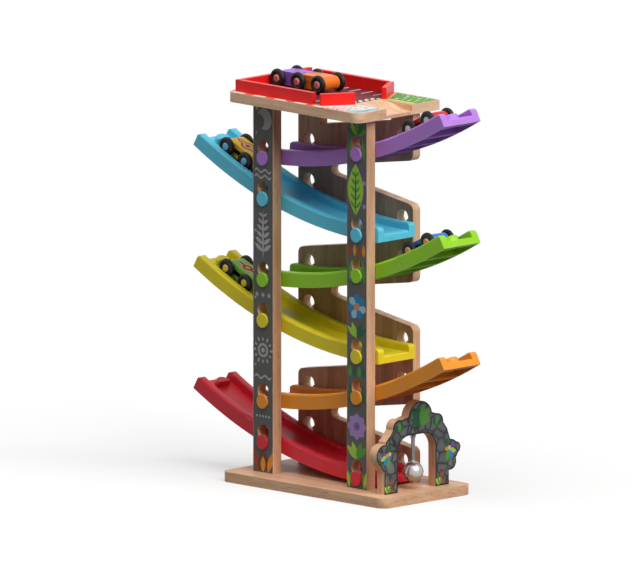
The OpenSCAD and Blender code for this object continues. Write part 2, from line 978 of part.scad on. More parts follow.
// Hub disc with an eased rim, its flat back at zero and its face towards +Z
module hub() {
    hub_r = hub_d / 2;
    rotate_extrude()
        polygon([[0, 0], [hub_r, 0], [hub_r, hub_t - hub_edge], [hub_r - hub_edge, hub_t], [0, hub_t]]);
}

// Hub cap with a blind socket for the axle's tip
module hub_cap() {
    difference() {
        hub();
        translate([0, 0, -over])
            cylinder(r = axle_r + fit_play, h = over + hub_seat + fit_play);
    }
}

// Axle along Y with a fixed hub at the -Y end, and a hub cap pushed on the +Y end
module wheel_axle(colour) {
    color(colour) {
        translate([0, hub_seat / 2, 0])
            cross_rod(axle_d, 2 * web_face + hub_seat);
        translate([0, -web_face, 0])
            rotate([90, 0, 0])
                hub();
        translate([0, web_face, 0])
            rotate([-90, 0, 0])
                hub_cap();
    }
}

// Two wheels on one axle: a round tyre about a thinner web
module wheel_pair() {
    tyre_r = tyre_d / 2;
    color(BLACK)
        for (s = [-1, 1])
            translate([0, s * wheel_track / 2, 0])
                rotate([90, 0, 0])
                    rotate_extrude() {
                        translate([wheel_r - tyre_r, 0])
                            circle(tyre_r);
                        translate([axle_r + fit_play, -web_t / 2])
                            square([wheel_r - tyre_r - axle_r - fit_play, web_t]);
                    }
}

// Axle or wheels at the downhill (1) or uphill (-1) end of a car
module car_end(k, s) {
    car_place(k)
        translate([s * wheelbase / 2, 0, 0])
            children();
}

module red_car_body() {
    car_place(0)
        car_body("firebrick");
}

module red_car_front_axle() {
    car_end(0, 1)
        wheel_axle("mistyrose");
}

module red_car_front_wheels() {
    car_end(0, 1)
        wheel_pair();
}

module red_car_rear_axle() {
    car_end(0, -1)
        wheel_axle("mistyrose");
}

module red_car_rear_wheels() {
    car_end(0, -1)
        wheel_pair();
}

module yellow_car_body() {
    car_place(1)
        car_body("gold");
}

module yellow_car_front_axle() {
    car_end(1, 1)
        wheel_axle("lightskyblue");
}

module yellow_car_front_wheels() {
    car_end(1, 1)
        wheel_pair();
}

module yellow_car_rear_axle() {
    car_end(1, -1)
        wheel_axle("lightskyblue");
}

module yellow_car_rear_wheels() {
    car_end(1, -1)
        wheel_pair();
}

module blue_car_body() {
    car_place(2)
        car_body("royalblue");
}

module blue_car_front_axle() {
    car_end(2, 1)
        wheel_axle("orange");
}

module blue_car_front_wheels() {
    car_end(2, 1)
        wheel_pair();
}

module blue_car_rear_axle() {
    car_end(2, -1)
        wheel_axle("orange");
}

module blue_car_rear_wheels() {
    car_end(2, -1)
        wheel_pair();
}

module green_car_body() {
    car_place(3)
        car_body("limegreen");
}

module green_car_front_axle() {
    car_end(3, 1)
        wheel_axle("yellow");
}

module green_car_front_wheels() {
    car_end(3, 1)
        wheel_pair();
}

module green_car_rear_axle() {
    car_end(3, -1)
        wheel_axle("yellow");
}

module green_car_rear_wheels() {
    car_end(3, -1)
        wheel_pair();
}

// Axles of the two-part car: -1 left, 0 middle, 1 right
module tandem_axle_place(s) {
    translate([tandem_x + s * wheelbase, tandem_y, tandem_z])
        children();
}

// Half of the two-part car on one side of the middle axle, with a half-width lap knuckle
module tandem_half(s, colour) {
    cut_w = car_w / 2 + knuckle_play / 2;
    color(colour)
        difference() {
            tandem_axle_place(s / 2)
                rotate([90, 0, 0])
                    linear_extrude(car_w, center = true)
                        body_outline();
            for (e = [0, s])
                tandem_axle_place(e)
                    cross_rod(axle_d + 2 * axle_play, car_w + 2 * over);
            tandem_axle_place(0)
                translate([0, s * (cut_w / 2 - knuckle_play / 4), 0])
                    cross_rod(car_h + 2 * knuckle_play, cut_w + knuckle_play / 2);
        }
}

module purple_half_body() {
    tandem_half(-1, "mediumpurple");
}

module orange_half_body() {
    tandem_half(1, "darkorange");
}

module tandem_left_axle() {
    tandem_axle_place(-1)
        wheel_axle("salmon");
}

module tandem_left_wheels() {
    tandem_axle_place(-1)
        wheel_pair();
}

module tandem_middle_axle() {
    tandem_axle_place(0)
        wheel_axle("salmon");
}

module tandem_middle_wheels() {
    tandem_axle_place(0)
        wheel_pair();
}

module tandem_right_axle() {
    tandem_axle_place(1)
        wheel_axle("salmon");
}

module tandem_right_wheels() {
    tandem_axle_place(1)
        wheel_pair();
}

base_plate();
left_post();
right_post();
back_panel();
top_deck();
purple_ramp();
blue_ramp();
green_ramp();
yellow_ramp();
orange_ramp();
red_ramp();
left_end_rail();
front_rail();
rear_rail();
front_funnel_rail();
rear_funnel_rail();
arch();
bell_staple();
bell_strap();
bell_upper_shell();
bell_lower_shell();
bell_pellet();
base_screws();
deck_dowels();
arch_dowels();
rail_pins();
red_car_body();
red_car_front_axle();
red_car_front_wheels();
red_car_rear_axle();
red_car_rear_wheels();
yellow_car_body();
yellow_car_front_axle();
yellow_car_front_wheels();
yellow_car_rear_axle();
yellow_car_rear_wheels();
blue_car_body();
blue_car_front_axle();
blue_car_front_wheels();
blue_car_rear_axle();
blue_car_rear_wheels();
green_car_body();
green_car_front_axle();
green_car_front_wheels();
green_car_rear_axle();
green_car_rear_wheels();
purple_half_body();
orange_half_body();
tandem_left_axle();
tandem_left_wheels();
tandem_middle_axle();
tandem_middle_wheels();
tandem_right_axle();
tandem_right_wheels();
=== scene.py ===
"""Studio scene of a click clack track: beech boards, moulded ramps, painted cars, prints and light.

Lengths are in metres, in the part's own frame: +X along the ramps, +Y from the posts to the back
panel and +Z up. Sizes that belong to a print are written in millimetres and scaled by MM.
"""

import logging
import math
from dataclasses import dataclass, field
from enum import Enum
from typing import Optional, Sequence, Union

import bmesh
import bpy
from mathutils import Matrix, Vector


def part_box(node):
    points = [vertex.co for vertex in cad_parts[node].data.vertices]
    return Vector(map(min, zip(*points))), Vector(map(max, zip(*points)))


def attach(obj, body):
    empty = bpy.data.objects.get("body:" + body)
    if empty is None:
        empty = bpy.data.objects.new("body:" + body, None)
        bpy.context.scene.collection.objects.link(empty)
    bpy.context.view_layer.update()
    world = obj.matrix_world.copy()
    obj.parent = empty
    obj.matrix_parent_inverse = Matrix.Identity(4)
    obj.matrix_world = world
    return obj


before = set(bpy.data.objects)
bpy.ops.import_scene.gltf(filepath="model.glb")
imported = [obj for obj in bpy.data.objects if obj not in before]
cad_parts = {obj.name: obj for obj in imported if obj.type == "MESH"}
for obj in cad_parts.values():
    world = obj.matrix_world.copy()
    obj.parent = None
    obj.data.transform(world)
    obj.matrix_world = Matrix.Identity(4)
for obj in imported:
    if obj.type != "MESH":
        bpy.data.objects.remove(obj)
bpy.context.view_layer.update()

LOG = logging.getLogger("track")
MM = 0.001

Colour = tuple[float, float, float]
Point = tuple[float, float]
Range = tuple[float, float]
Triple = tuple[float, float, float]
Loop = list[Point]
Socket = bpy.types.NodeSocket
Value = Union[Socket, float, Sequence[float]]

SCREEN_TOP = 255
SCREEN_KNEE, SCREEN_SLOPE, SCREEN_LIFT, SCREEN_POWER = 0.04045, 12.92, 0.055, 2.4
NOISE_LOW, NOISE_MIDDLE, NOISE_HIGH = 0.3, 0.5, 0.7
FACING_FROM, FACING_TO = 0.6, 0.9


def srgb(red: int, green: int, blue: int) -> Colour:
    """Turn a colour as it is seen on a screen into the linear colour that a shader takes.

    Args:
        red: Red from 0 to 255.
        green: Green from 0 to 255.
        blue: Blue from 0 to 255.

    Returns:
        The linear colour.
    """
    def linear(level: int) -> float:
        """Undo the screen's curve for one channel."""
        share = level / SCREEN_TOP
        if share <= SCREEN_KNEE:
            return share / SCREEN_SLOPE
        return ((share + SCREEN_LIFT) / (1 + SCREEN_LIFT)) ** SCREEN_POWER

    return linear(red), linear(green), linear(blue)


class Canvas:
    """A node tree with short ways to add and join nodes."""

    def __init__(self, tree: bpy.types.NodeTree) -> None:
        """Keep the tree that the nodes go into."""
        self.tree = tree

    def add(self, kind: str, **settings: object) -> bpy.types.Node:
        """Add a node.

        Args:
            kind: Blender's name of the node's type.
            settings: Properties to set on the node.

        Returns:
            The new node.
        """
        node = self.tree.nodes.new(kind)
        for key, value in settings.items():
            setattr(node, key, value)
        return node

    def feed(self, target: Socket, value: Value) -> None:
        """Link a socket to an input, or set the input to a plain value.

        Args:
            target: The input.
            value: A socket, a number or a list of numbers.
        """
        if isinstance(value, bpy.types.NodeSocket):
            self.tree.links.new(value, target)
        elif isinstance(value, (int, float)):
            target.default_value = value
        else:
            wanted = len(target.default_value)
            target.default_value = (*value, 1.0)[:wanted]

    def math(self, operation: str, first: Value, second: Value = 0.0) -> Socket:
        """Add a math node and give its result."""
        node = self.add("ShaderNodeMath", operation=operation)
        self.feed(node.inputs[0], first)
        self.feed(node.inputs[1], second)
        return node.outputs[0]

    def vector(self, operation: str, first: Value, second: Value) -> Socket:
        """Add a vector math node and give its vector."""
        node = self.add("ShaderNodeVectorMath", operation=operation)
        self.feed(node.inputs[0], first)
        self.feed(node.inputs[1], second)
        return node.outputs[0]

    def mix(self, share: Value, first: Value, second: Value, blend: str = "MIX") -> Socket:
        """Mix two colours.

        Args:
            share: How much of the second colour is used.
            first: The colour at a share of 0.
            second: The colour at a share of 1.
            blend: Blender's name of the way of mixing.

        Returns:
            The mixed colour.
        """
        node = self.add("ShaderNodeMix", data_type="RGBA", blend_type=blend)
        by_name = {s.identifier: s for s in node.inputs}
        self.feed(by_name["Factor_Float"], share)
        self.feed(by_name["A_Color"], first)
        self.feed(by_name["B_Color"], second)
        return next(s for s in node.outputs if s.identifier == "Result_Color")

    def noise(self, place: Socket, scale: Value, detail: float = 3.0, rough: float = 0.5,
              bend: float = 0.0) -> Socket:
        """Add a noise texture and give its value.

        Args:
            place: Where the noise is read.
            scale: How fine the noise is.
            detail: How many finer layers it has.
            rough: How strong the finer layers are.
            bend: How far the noise distorts itself.

        Returns:
            The noise's value, about 0 to 1.
        """
        node = self.add("ShaderNodeTexNoise")
        self.feed(node.inputs["Vector"], place)
        self.feed(node.inputs["Scale"], scale)
        node.inputs["Detail"].default_value = detail
        node.inputs["Roughness"].default_value = rough
        node.inputs["Distortion"].default_value = bend
        return node.outputs["Fac"]

    def spread(self, value: Value, low: float, high: float, to_low: float = 0.0,
               to_high: float = 1.0) -> Socket:
        """Map a range of values onto another range, clamped."""
        node = self.add("ShaderNodeMapRange")
        self.feed(node.inputs["Value"], value)
        limits = {"From Min": low, "From Max": high, "To Min": to_low, "To Max": to_high}
        for name, number in limits.items():
            node.inputs[name].default_value = number
        return node.outputs["Result"]

    def own_place(self) -> Socket:
        """Give the place on the object, in the part's own frame."""
        return self.add("ShaderNodeTexCoord").outputs["Object"]

    def facing(self, axis: str) -> Socket:
        """Give 1 on the faces that look along an axis, either way, and 0 on those beside it."""
        parts = self.add("ShaderNodeSeparateXYZ")
        self.feed(parts.inputs[0], self.add("ShaderNodeTexCoord").outputs["Normal"])
        return self.spread(self.math("ABSOLUTE", parts.outputs[axis]), FACING_FROM, FACING_TO)


@dataclass(frozen=True)
class Port:
    """A named input or output of a shader node group."""

    name: str
    kind: str
    default: Value = 0.0


FLOAT, COLOUR, VECTOR = "NodeSocketFloat", "NodeSocketColor", "NodeSocketVector"


class Effect:
    """A shader node group that several materials share."""

    name = "effect"
    takes: tuple[Port, ...] = ()
    gives: tuple[Port, ...] = ()

    def __init__(self) -> None:
        """Build the group once."""
        self.tree = bpy.data.node_groups.new(self.name, "ShaderNodeTree")
        for port in self.takes:
            made = self.tree.interface.new_socket(name=port.name, in_out="INPUT", socket_type=port.kind)
            if port.kind == FLOAT:
                made.default_value = port.default
            else:
                made.default_value = (*port.default, 1.0)[:len(made.default_value)]
        for port in self.gives:
            self.tree.interface.new_socket(name=port.name, in_out="OUTPUT", socket_type=port.kind)
        canvas = Canvas(self.tree)
        source = canvas.add("NodeGroupInput").outputs
        sink = canvas.add("NodeGroupOutput").inputs
        self.draw(canvas, source, sink)

    def draw(self, canvas: Canvas, source: bpy.types.NodeOutputs, sink: bpy.types.NodeInputs) -> None:
        """Fill the group with nodes.

        Args:
            canvas: The group's own tree.
            source: The group's inputs, as outputs of its input node.
            sink: The group's outputs, as inputs of its output node.
        """
        raise NotImplementedError

    def place(self, canvas: Canvas, **values: Value) -> bpy.types.NodeOutputs:
        """Place the group in a material.

        Args:
            canvas: The material's tree.
            values: What each input gets, by the input's name with _ for a space.

        Returns:
            The group node's outputs.
        """
        node = canvas.add("ShaderNodeGroup", node_tree=self.tree)
        for key, value in values.items():
            canvas.feed(node.inputs[key.replace("_", " ").capitalize()], value)
        return node.outputs


class WoodGrain(Effect):
    """Beech grain: broad bands, fine fibres and the short dark flecks of the wood's rays."""

    name = "wood_grain"
    takes = (Port("Light", COLOUR, (0.8, 0.6, 0.4)), Port("Dark", COLOUR, (0.6, 0.4, 0.25)),
             Port("Stretch", VECTOR, (6, 90, 90)), Port("Flecks", FLOAT, 0.5))
    gives = (Port("Color", COLOUR), Port("Variation", FLOAT), Port("Height", FLOAT))
    band_scale = 0.55
    fibre_scale = 5.5
    fleck_scale = 9.0
    fleck_range = (0.64, 0.72)
    band_share = 0.7
    tone_range = (0.34, 0.62)

    def draw(self, canvas: Canvas, source: bpy.types.NodeOutputs, sink: bpy.types.NodeInputs) -> None:
        """Stretch three layers of noise along the board and mix the two wood tones by them."""
        place = canvas.vector("MULTIPLY", canvas.own_place(), source["Stretch"])
        bands = canvas.noise(place, self.band_scale, rough=0.55, bend=1.1)
        fibres = canvas.noise(place, self.fibre_scale, detail=4.0, rough=0.6)
        specks = canvas.noise(place, self.fleck_scale, detail=1.0, rough=0.4)
        flecks = canvas.spread(specks, *self.fleck_range)
        tone = canvas.math("ADD", canvas.math("MULTIPLY", bands, self.band_share),
                           canvas.math("MULTIPLY", fibres, 1 - self.band_share))
        wood = canvas.mix(canvas.spread(tone, *self.tone_range), source["Dark"], source["Light"])
        mark = canvas.math("MULTIPLY", flecks, source["Flecks"])
        canvas.feed(sink["Color"], canvas.mix(mark, wood, source["Dark"], "MULTIPLY"))
        canvas.feed(sink["Variation"], tone)
        canvas.feed(sink["Height"], canvas.math("SUBTRACT", fibres, mark))


class Mottle(Effect):
    """Slow change of tone over a moulded, painted or printed face, and a fine skin texture."""

    name = "surface_mottle"
    takes = (Port("Colour", COLOUR, (0.5, 0.5, 0.5)), Port("Depth", FLOAT, 0.08),
             Port("Fineness", FLOAT, 900.0))
    gives = (Port("Color", COLOUR), Port("Variation", FLOAT), Port("Height", FLOAT))
    slow_scale = 34.0
    slow_share = 0.6
    grime = (0.05, 0.04, 0.04)

    def draw(self, canvas: Canvas, source: bpy.types.NodeOutputs, sink: bpy.types.NodeInputs) -> None:
        """Darken the colour where slow noise is low, and give fine noise as the skin."""
        place = canvas.own_place()
        slow = canvas.noise(place, self.slow_scale, rough=0.55)
        fine = canvas.noise(place, source["Fineness"], detail=2.0)
        low = canvas.math("SUBTRACT", 1.0, canvas.spread(slow, NOISE_LOW, NOISE_HIGH))
        shade = canvas.math("MULTIPLY", low, source["Depth"])
        canvas.feed(sink["Color"], canvas.mix(shade, source["Colour"], self.grime))
        canvas.feed(sink["Variation"], canvas.math("ADD", canvas.math("MULTIPLY", slow, self.slow_share),
                                                   canvas.math("MULTIPLY", fine, 1 - self.slow_share)))
        canvas.feed(sink["Height"], fine)


class Scuffs(Effect):
    """Sparse hair scratches and handling marks."""

    name = "fine_scuffs"
    takes = (Port("Amount", FLOAT, 0.4),)
    gives = (Port("Mask", FLOAT),)
    stretch = (60.0, 900.0, 420.0)
    hair = 0.014
    patch_scale = 55.0
    patch_range = (0.52, 0.68)

    def draw(self, canvas: Canvas, source: bpy.types.NodeOutputs, sink: bpy.types.NodeInputs) -> None:
        """Keep thin lines of stretched noise where slow noise allows them."""
        place = canvas.own_place()
        drawn = canvas.vector("MULTIPLY", place, self.stretch)
        line = canvas.noise(drawn, 1.0, detail=1.0, rough=0.3, bend=0.4)
        near = canvas.math("ABSOLUTE", canvas.math("SUBTRACT", line, NOISE_MIDDLE))
        thin = canvas.spread(near, 0.0, self.hair, 1.0, 0.0)
        where = canvas.spread(canvas.noise(place, self.patch_scale, detail=2.0), *self.patch_range)
        mask = canvas.math("MULTIPLY", canvas.math("MULTIPLY", thin, where), source["Amount"])
        canvas.feed(sink["Mask"], mask)


GRAIN = WoodGrain()
MOTTLE = Mottle()
SCUFFS = Scuffs()


LENGTHWISE, CROSSWISE = 7.0, 95.0
RING_WIDE, RING_FINE = 16.0, 60.0


class Board(Enum):
    """Direction in which a board's grain runs."""

    ALONG_X = "X"
    ALONG_Z = "Z"

    def stretch(self) -> Triple:
        """Give the stretch of the pattern on the board's long faces."""
        along_x = self is Board.ALONG_X
        return (LENGTHWISE, CROSSWISE, CROSSWISE) if along_x else (CROSSWISE, CROSSWISE, LENGTHWISE)

    def end_stretch(self) -> Triple:
        """Give the stretch of the pattern on the board's two ends."""
        along_x = self is Board.ALONG_X
        return (LENGTHWISE, RING_WIDE, RING_FINE) if along_x else (RING_WIDE, RING_FINE, LENGTHWISE)


MADE: dict[str, bpy.types.Material] = {}


@dataclass(frozen=True)
class Finish:
    """A surface finish with a procedural material of its own."""

    name: str

    def material(self) -> bpy.types.Material:
        """Give the finish's material, built on first use."""
        if self.name in MADE:
            return MADE[self.name]
        made = MADE[self.name] = bpy.data.materials.new(self.name)
        made.use_nodes = True
        made.node_tree.nodes.clear()
        canvas = Canvas(made.node_tree)
        shader = canvas.add("ShaderNodeBsdfPrincipled")
        output = canvas.add("ShaderNodeOutputMaterial")
        canvas.feed(output.inputs["Surface"], shader.outputs["BSDF"])
        self.paint(canvas, shader.inputs)
        return made

    def paint(self, canvas: Canvas, shader: bpy.types.NodeInputs) -> None:
        """Join the finish's pattern to the shader.

        Args:
            canvas: The material's tree.
            shader: The inputs of the material's shader.
        """
        raise NotImplementedError

    @staticmethod
    def gloss(canvas: Canvas, variation: Socket, sheen: Range) -> Socket:
        """Give a roughness that runs through the sheen's range as the surface varies."""
        return canvas.spread(variation, NOISE_LOW, NOISE_HIGH, *sheen)

    @staticmethod
    def bump(canvas: Canvas, shader: bpy.types.NodeInputs, height: Socket, depth: float) -> None:
        """Give the surface a relief.

        Args:
            canvas: The material's tree.
            shader: The inputs of the material's shader.
            height: The relief's height, about 0 to 1.
            depth: The relief's depth in metres.
        """
        node = canvas.add("ShaderNodeBump")
        node.inputs["Distance"].default_value = depth
        canvas.feed(node.inputs["Height"], height)
        canvas.feed(shader["Normal"], node.outputs["Normal"])


@dataclass(frozen=True)
class WoodFinish(Finish):
    """Lacquered wood with its grain along one axis."""

    light: Colour
    dark: Colour
    board: Board
    flecks: float = 0.55
    sheen: Range = (0.62, 0.42)
    coat: float = 0.08
    coat_rough: float = 0.3
    relief: float = 0.06 * MM

    def paint(self, canvas: Canvas, shader: bpy.types.NodeInputs) -> None:
        """Join grain, roughness and fibre relief."""
        grain = self.grain(canvas, self.board.stretch())
        canvas.feed(shader["Base Color"], self.tone(canvas, grain["Color"]))
        canvas.feed(shader["Roughness"], self.gloss(canvas, grain["Variation"], self.sheen))
        shader["Coat Weight"].default_value = self.coat
        shader["Coat Roughness"].default_value = self.coat_rough
        self.bump(canvas, shader, grain["Height"], self.relief)

    def grain(self, canvas: Canvas, stretch: Triple) -> bpy.types.NodeOutputs:
        """Place the grain with the finish's two tones."""
        return GRAIN.place(canvas, light=self.light, dark=self.dark, stretch=stretch, flecks=self.flecks)

    def tone(self, canvas: Canvas, face: Socket) -> Socket:
        """Show broad rings where the board is cut across its grain.

        Args:
            canvas: The material's tree.
            face: Colour of the long faces.

        Returns:
            The colour all over.
        """
        rings = self.grain(canvas, self.board.end_stretch())["Color"]
        return canvas.mix(canvas.facing(self.board.value), face, rings)


@dataclass(frozen=True)
class PanelFinish(WoodFinish):
    """Beech board whose two broad faces get a darker copy of the grain as painted shade, while its cut edges
    stay pale.
    """

    edge_light: Colour = (0.8, 0.6, 0.4)
    edge_dark: Colour = (0.6, 0.4, 0.25)

    def tone(self, canvas: Canvas, face: Socket) -> Socket:
        """Show painted shade, a darker copy of the beech grain, on the two broad faces and pale grain on the
        edges.

        Args:
            canvas: The material's tree.
            face: Colour of the broad faces, darkened as painted shade.

        Returns:
            The colour all over.
        """
        pale = GRAIN.place(canvas, light=self.edge_light, dark=self.edge_dark, stretch=self.board.stretch(),
                           flecks=self.flecks)["Color"]
        return canvas.mix(canvas.facing("Y"), pale, face)


@dataclass(frozen=True)
class MouldedFinish(Finish):
    """Gloss plastic out of a mould, with handling marks."""

    colour: Colour
    sheen: Range = (0.30, 0.42)
    mottle: float = 0.07
    fineness: float = 1500.0
    wear: float = 0.10
    wear_colour: Colour = (0.9, 0.9, 0.9)
    wear_rough: float = 0.8
    shine: float = 0.3
    relief: float = 0.02 * MM

    def paint(self, canvas: Canvas, shader: bpy.types.NodeInputs) -> None:
        """Join the mottle, the marks and the moulded skin."""
        skin = MOTTLE.place(canvas, colour=self.colour, depth=self.mottle, fineness=self.fineness)
        marks = SCUFFS.place(canvas, amount=self.wear)["Mask"]
        canvas.feed(shader["Base Color"], canvas.mix(marks, skin["Color"], self.wear_colour))
        rough = self.gloss(canvas, skin["Variation"], self.sheen)
        worn = canvas.math("MULTIPLY", marks, self.wear_rough)
        canvas.feed(shader["Roughness"], canvas.math("ADD", rough, worn))
        shader["Specular IOR Level"].default_value = self.shine
        self.bump(canvas, shader, skin["Height"], self.relief)


@dataclass(frozen=True)
class PaintFinish(Finish):
    """Gloss paint on wood, with a trace of the grain under it."""

    colour: Colour
    board: Board = Board.ALONG_X
    sheen: Range = (0.30, 0.44)
    mottle: float = 0.06
    fineness: float = 700.0
    wear: float = 0.12
    wear_colour: Colour = (0.85, 0.78, 0.7)
    shine: float = 0.28
    relief: float = 0.04 * MM

    def paint(self, canvas: Canvas, shader: bpy.types.NodeInputs) -> None:
        """Join the mottle, the marks and the grain's relief."""
        skin = MOTTLE.place(canvas, colour=self.colour, depth=self.mottle, fineness=self.fineness)
        wood = GRAIN.place(canvas, stretch=self.board.stretch())
        marks = SCUFFS.place(canvas, amount=self.wear)["Mask"]
        canvas.feed(shader["Base Color"], canvas.mix(marks, skin["Color"], self.wear_colour))
        canvas.feed(shader["Roughness"], self.gloss(canvas, skin["Variation"], self.sheen))
        shader["Specular IOR Level"].default_value = self.shine
        self.bump(canvas, shader, wood["Height"], self.relief)


@dataclass(frozen=True)
class InkFinish(Finish):
    """Flat ink printed on a board."""

    colour: Colour
    sheen: Range = (0.50, 0.62)
    mottle: float = 0.10
    fineness: float = 2600.0
    shine: float = 0.22
    relief: float = 0.01 * MM

    def paint(self, canvas: Canvas, shader: bpy.types.NodeInputs) -> None:
        """Join the mottle and the ink's fine grain."""
        skin = MOTTLE.place(canvas, colour=self.colour, depth=self.mottle, fineness=self.fineness)
        canvas.feed(shader["Base Color"], skin["Color"])
        canvas.feed(shader["Roughness"], self.gloss(canvas, skin["Variation"], self.sheen))
        shader["Specular IOR Level"].default_value = self.shine
        self.bump(canvas, shader, skin["Height"], self.relief)


@dataclass(frozen=True)
class MetalFinish(Finish):
    """Bare or polished metal with hair marks."""

    colour: Colour
    sheen: Range = (0.08, 0.2)
    mottle: float = 0.12
    fineness: float = 1200.0
    wear: float = 0.5
    wear_rough: float = 0.25
    relief: float = 0.01 * MM

    def paint(self, canvas: Canvas, shader: bpy.types.NodeInputs) -> None:
        """Join the mottle and the marks to a metal shader."""
        skin = MOTTLE.place(canvas, colour=self.colour, depth=self.mottle, fineness=self.fineness)
        marks = SCUFFS.place(canvas, amount=self.wear)["Mask"]
        canvas.feed(shader["Base Color"], skin["Color"])
        shader["Metallic"].default_value = 1.0
        rough = self.gloss(canvas, skin["Variation"], self.sheen)
        worn = canvas.math("MULTIPLY", marks, self.wear_rough)
        canvas.feed(shader["Roughness"], canvas.math("ADD", rough, worn))
        self.bump(canvas, shader, marks, self.relief)


@dataclass(frozen=True)
class TyreFinish(Finish):
    """Satin black wheel."""

    colour: Colour
    dust: Colour
    sheen: Range = (0.38, 0.55)
    mottle: float = 0.2
    fineness: float = 1900.0
    wear: float = 0.35
    shine: float = 0.3
    relief: float = 0.02 * MM

    def paint(self, canvas: Canvas, shader: bpy.types.NodeInputs) -> None:
        """Join the mottle and pale dust marks to a satin shader."""
        skin = MOTTLE.place(canvas, colour=self.colour, depth=self.mottle, fineness=self.fineness)
        marks = SCUFFS.place(canvas, amount=self.wear)["Mask"]
        canvas.feed(shader["Base Color"], canvas.mix(marks, skin["Color"], self.dust))
        canvas.feed(shader["Roughness"], self.gloss(canvas, skin["Variation"], self.sheen))
        shader["Specular IOR Level"].default_value = self.shine
        self.bump(canvas, shader, skin["Height"], self.relief)


@dataclass(frozen=True)
class StoneFinish(Finish):
    """Painted stonework: rounded blocks in slate tones with dark joints."""

    light: Colour
    dark: Colour
    joint: Colour
    block: float = 78.0
    crown_range: Range = (0.02, 0.3)
    seam_range: Range = (0.02, 0.07)
    wobble_scale: float = 60.0
    wobble_reach: float = 4 * MM
    sheen: Range = (0.5, 0.64)
    mottle: float = 0.25
    fineness: float = 1200.0
    shine: float = 0.22
    relief: float = 0.01 * MM

    def paint(self, canvas: Canvas, shader: bpy.types.NodeInputs) -> None:
        """Draw the blocks as cells, with a tone for each and a dark line between them."""
        place = canvas.own_place()
        wobble = canvas.vector("MULTIPLY", self.wobble(canvas, place), (self.wobble_reach,) * 3)
        bent = canvas.vector("ADD", place, wobble)
        cells = canvas.add("ShaderNodeTexVoronoi")
        edges = canvas.add("ShaderNodeTexVoronoi", feature="DISTANCE_TO_EDGE")
        for node in (cells, edges):
            canvas.feed(node.inputs["Vector"], bent)
            node.inputs["Scale"].default_value = self.block
        tone = canvas.add("ShaderNodeSeparateColor")
        canvas.feed(tone.inputs["Color"], cells.outputs["Color"])
        crown = canvas.spread(edges.outputs["Distance"], *self.crown_range)
        lit = canvas.math("MULTIPLY", canvas.math("ADD", tone.outputs[0], crown), 0.5)
        stone = canvas.mix(lit, self.dark, self.light)
        seam = canvas.spread(edges.outputs["Distance"], *self.seam_range, 1.0, 0.0)
        skin = MOTTLE.place(canvas, colour=canvas.mix(seam, stone, self.joint), depth=self.mottle,
                            fineness=self.fineness)
        canvas.feed(shader["Base Color"], skin["Color"])
        canvas.feed(shader["Roughness"], self.gloss(canvas, skin["Variation"], self.sheen))
        shader["Specular IOR Level"].default_value = self.shine
        self.bump(canvas, shader, skin["Height"], self.relief)

    def wobble(self, canvas: Canvas, place: Socket) -> Socket:
        """Give a slow colour noise that bends the joints."""
        node = canvas.add("ShaderNodeTexNoise")
        canvas.feed(node.inputs["Vector"], place)
        node.inputs["Scale"].default_value = self.wobble_scale
        return node.outputs["Color"]


BEECH_LIGHT, BEECH_DARK = srgb(246, 208, 172), srgb(214, 164, 124)
WARM_LIGHT, WARM_DARK = srgb(234, 190, 152), srgb(202, 150, 112)
# Panel face colours: the beech grain darkened as painted shade; the panel's edges keep the plain beech.
PANEL_SHADED_LIGHT, PANEL_SHADED_DARK = srgb(196, 152, 120), srgb(154, 116, 90)


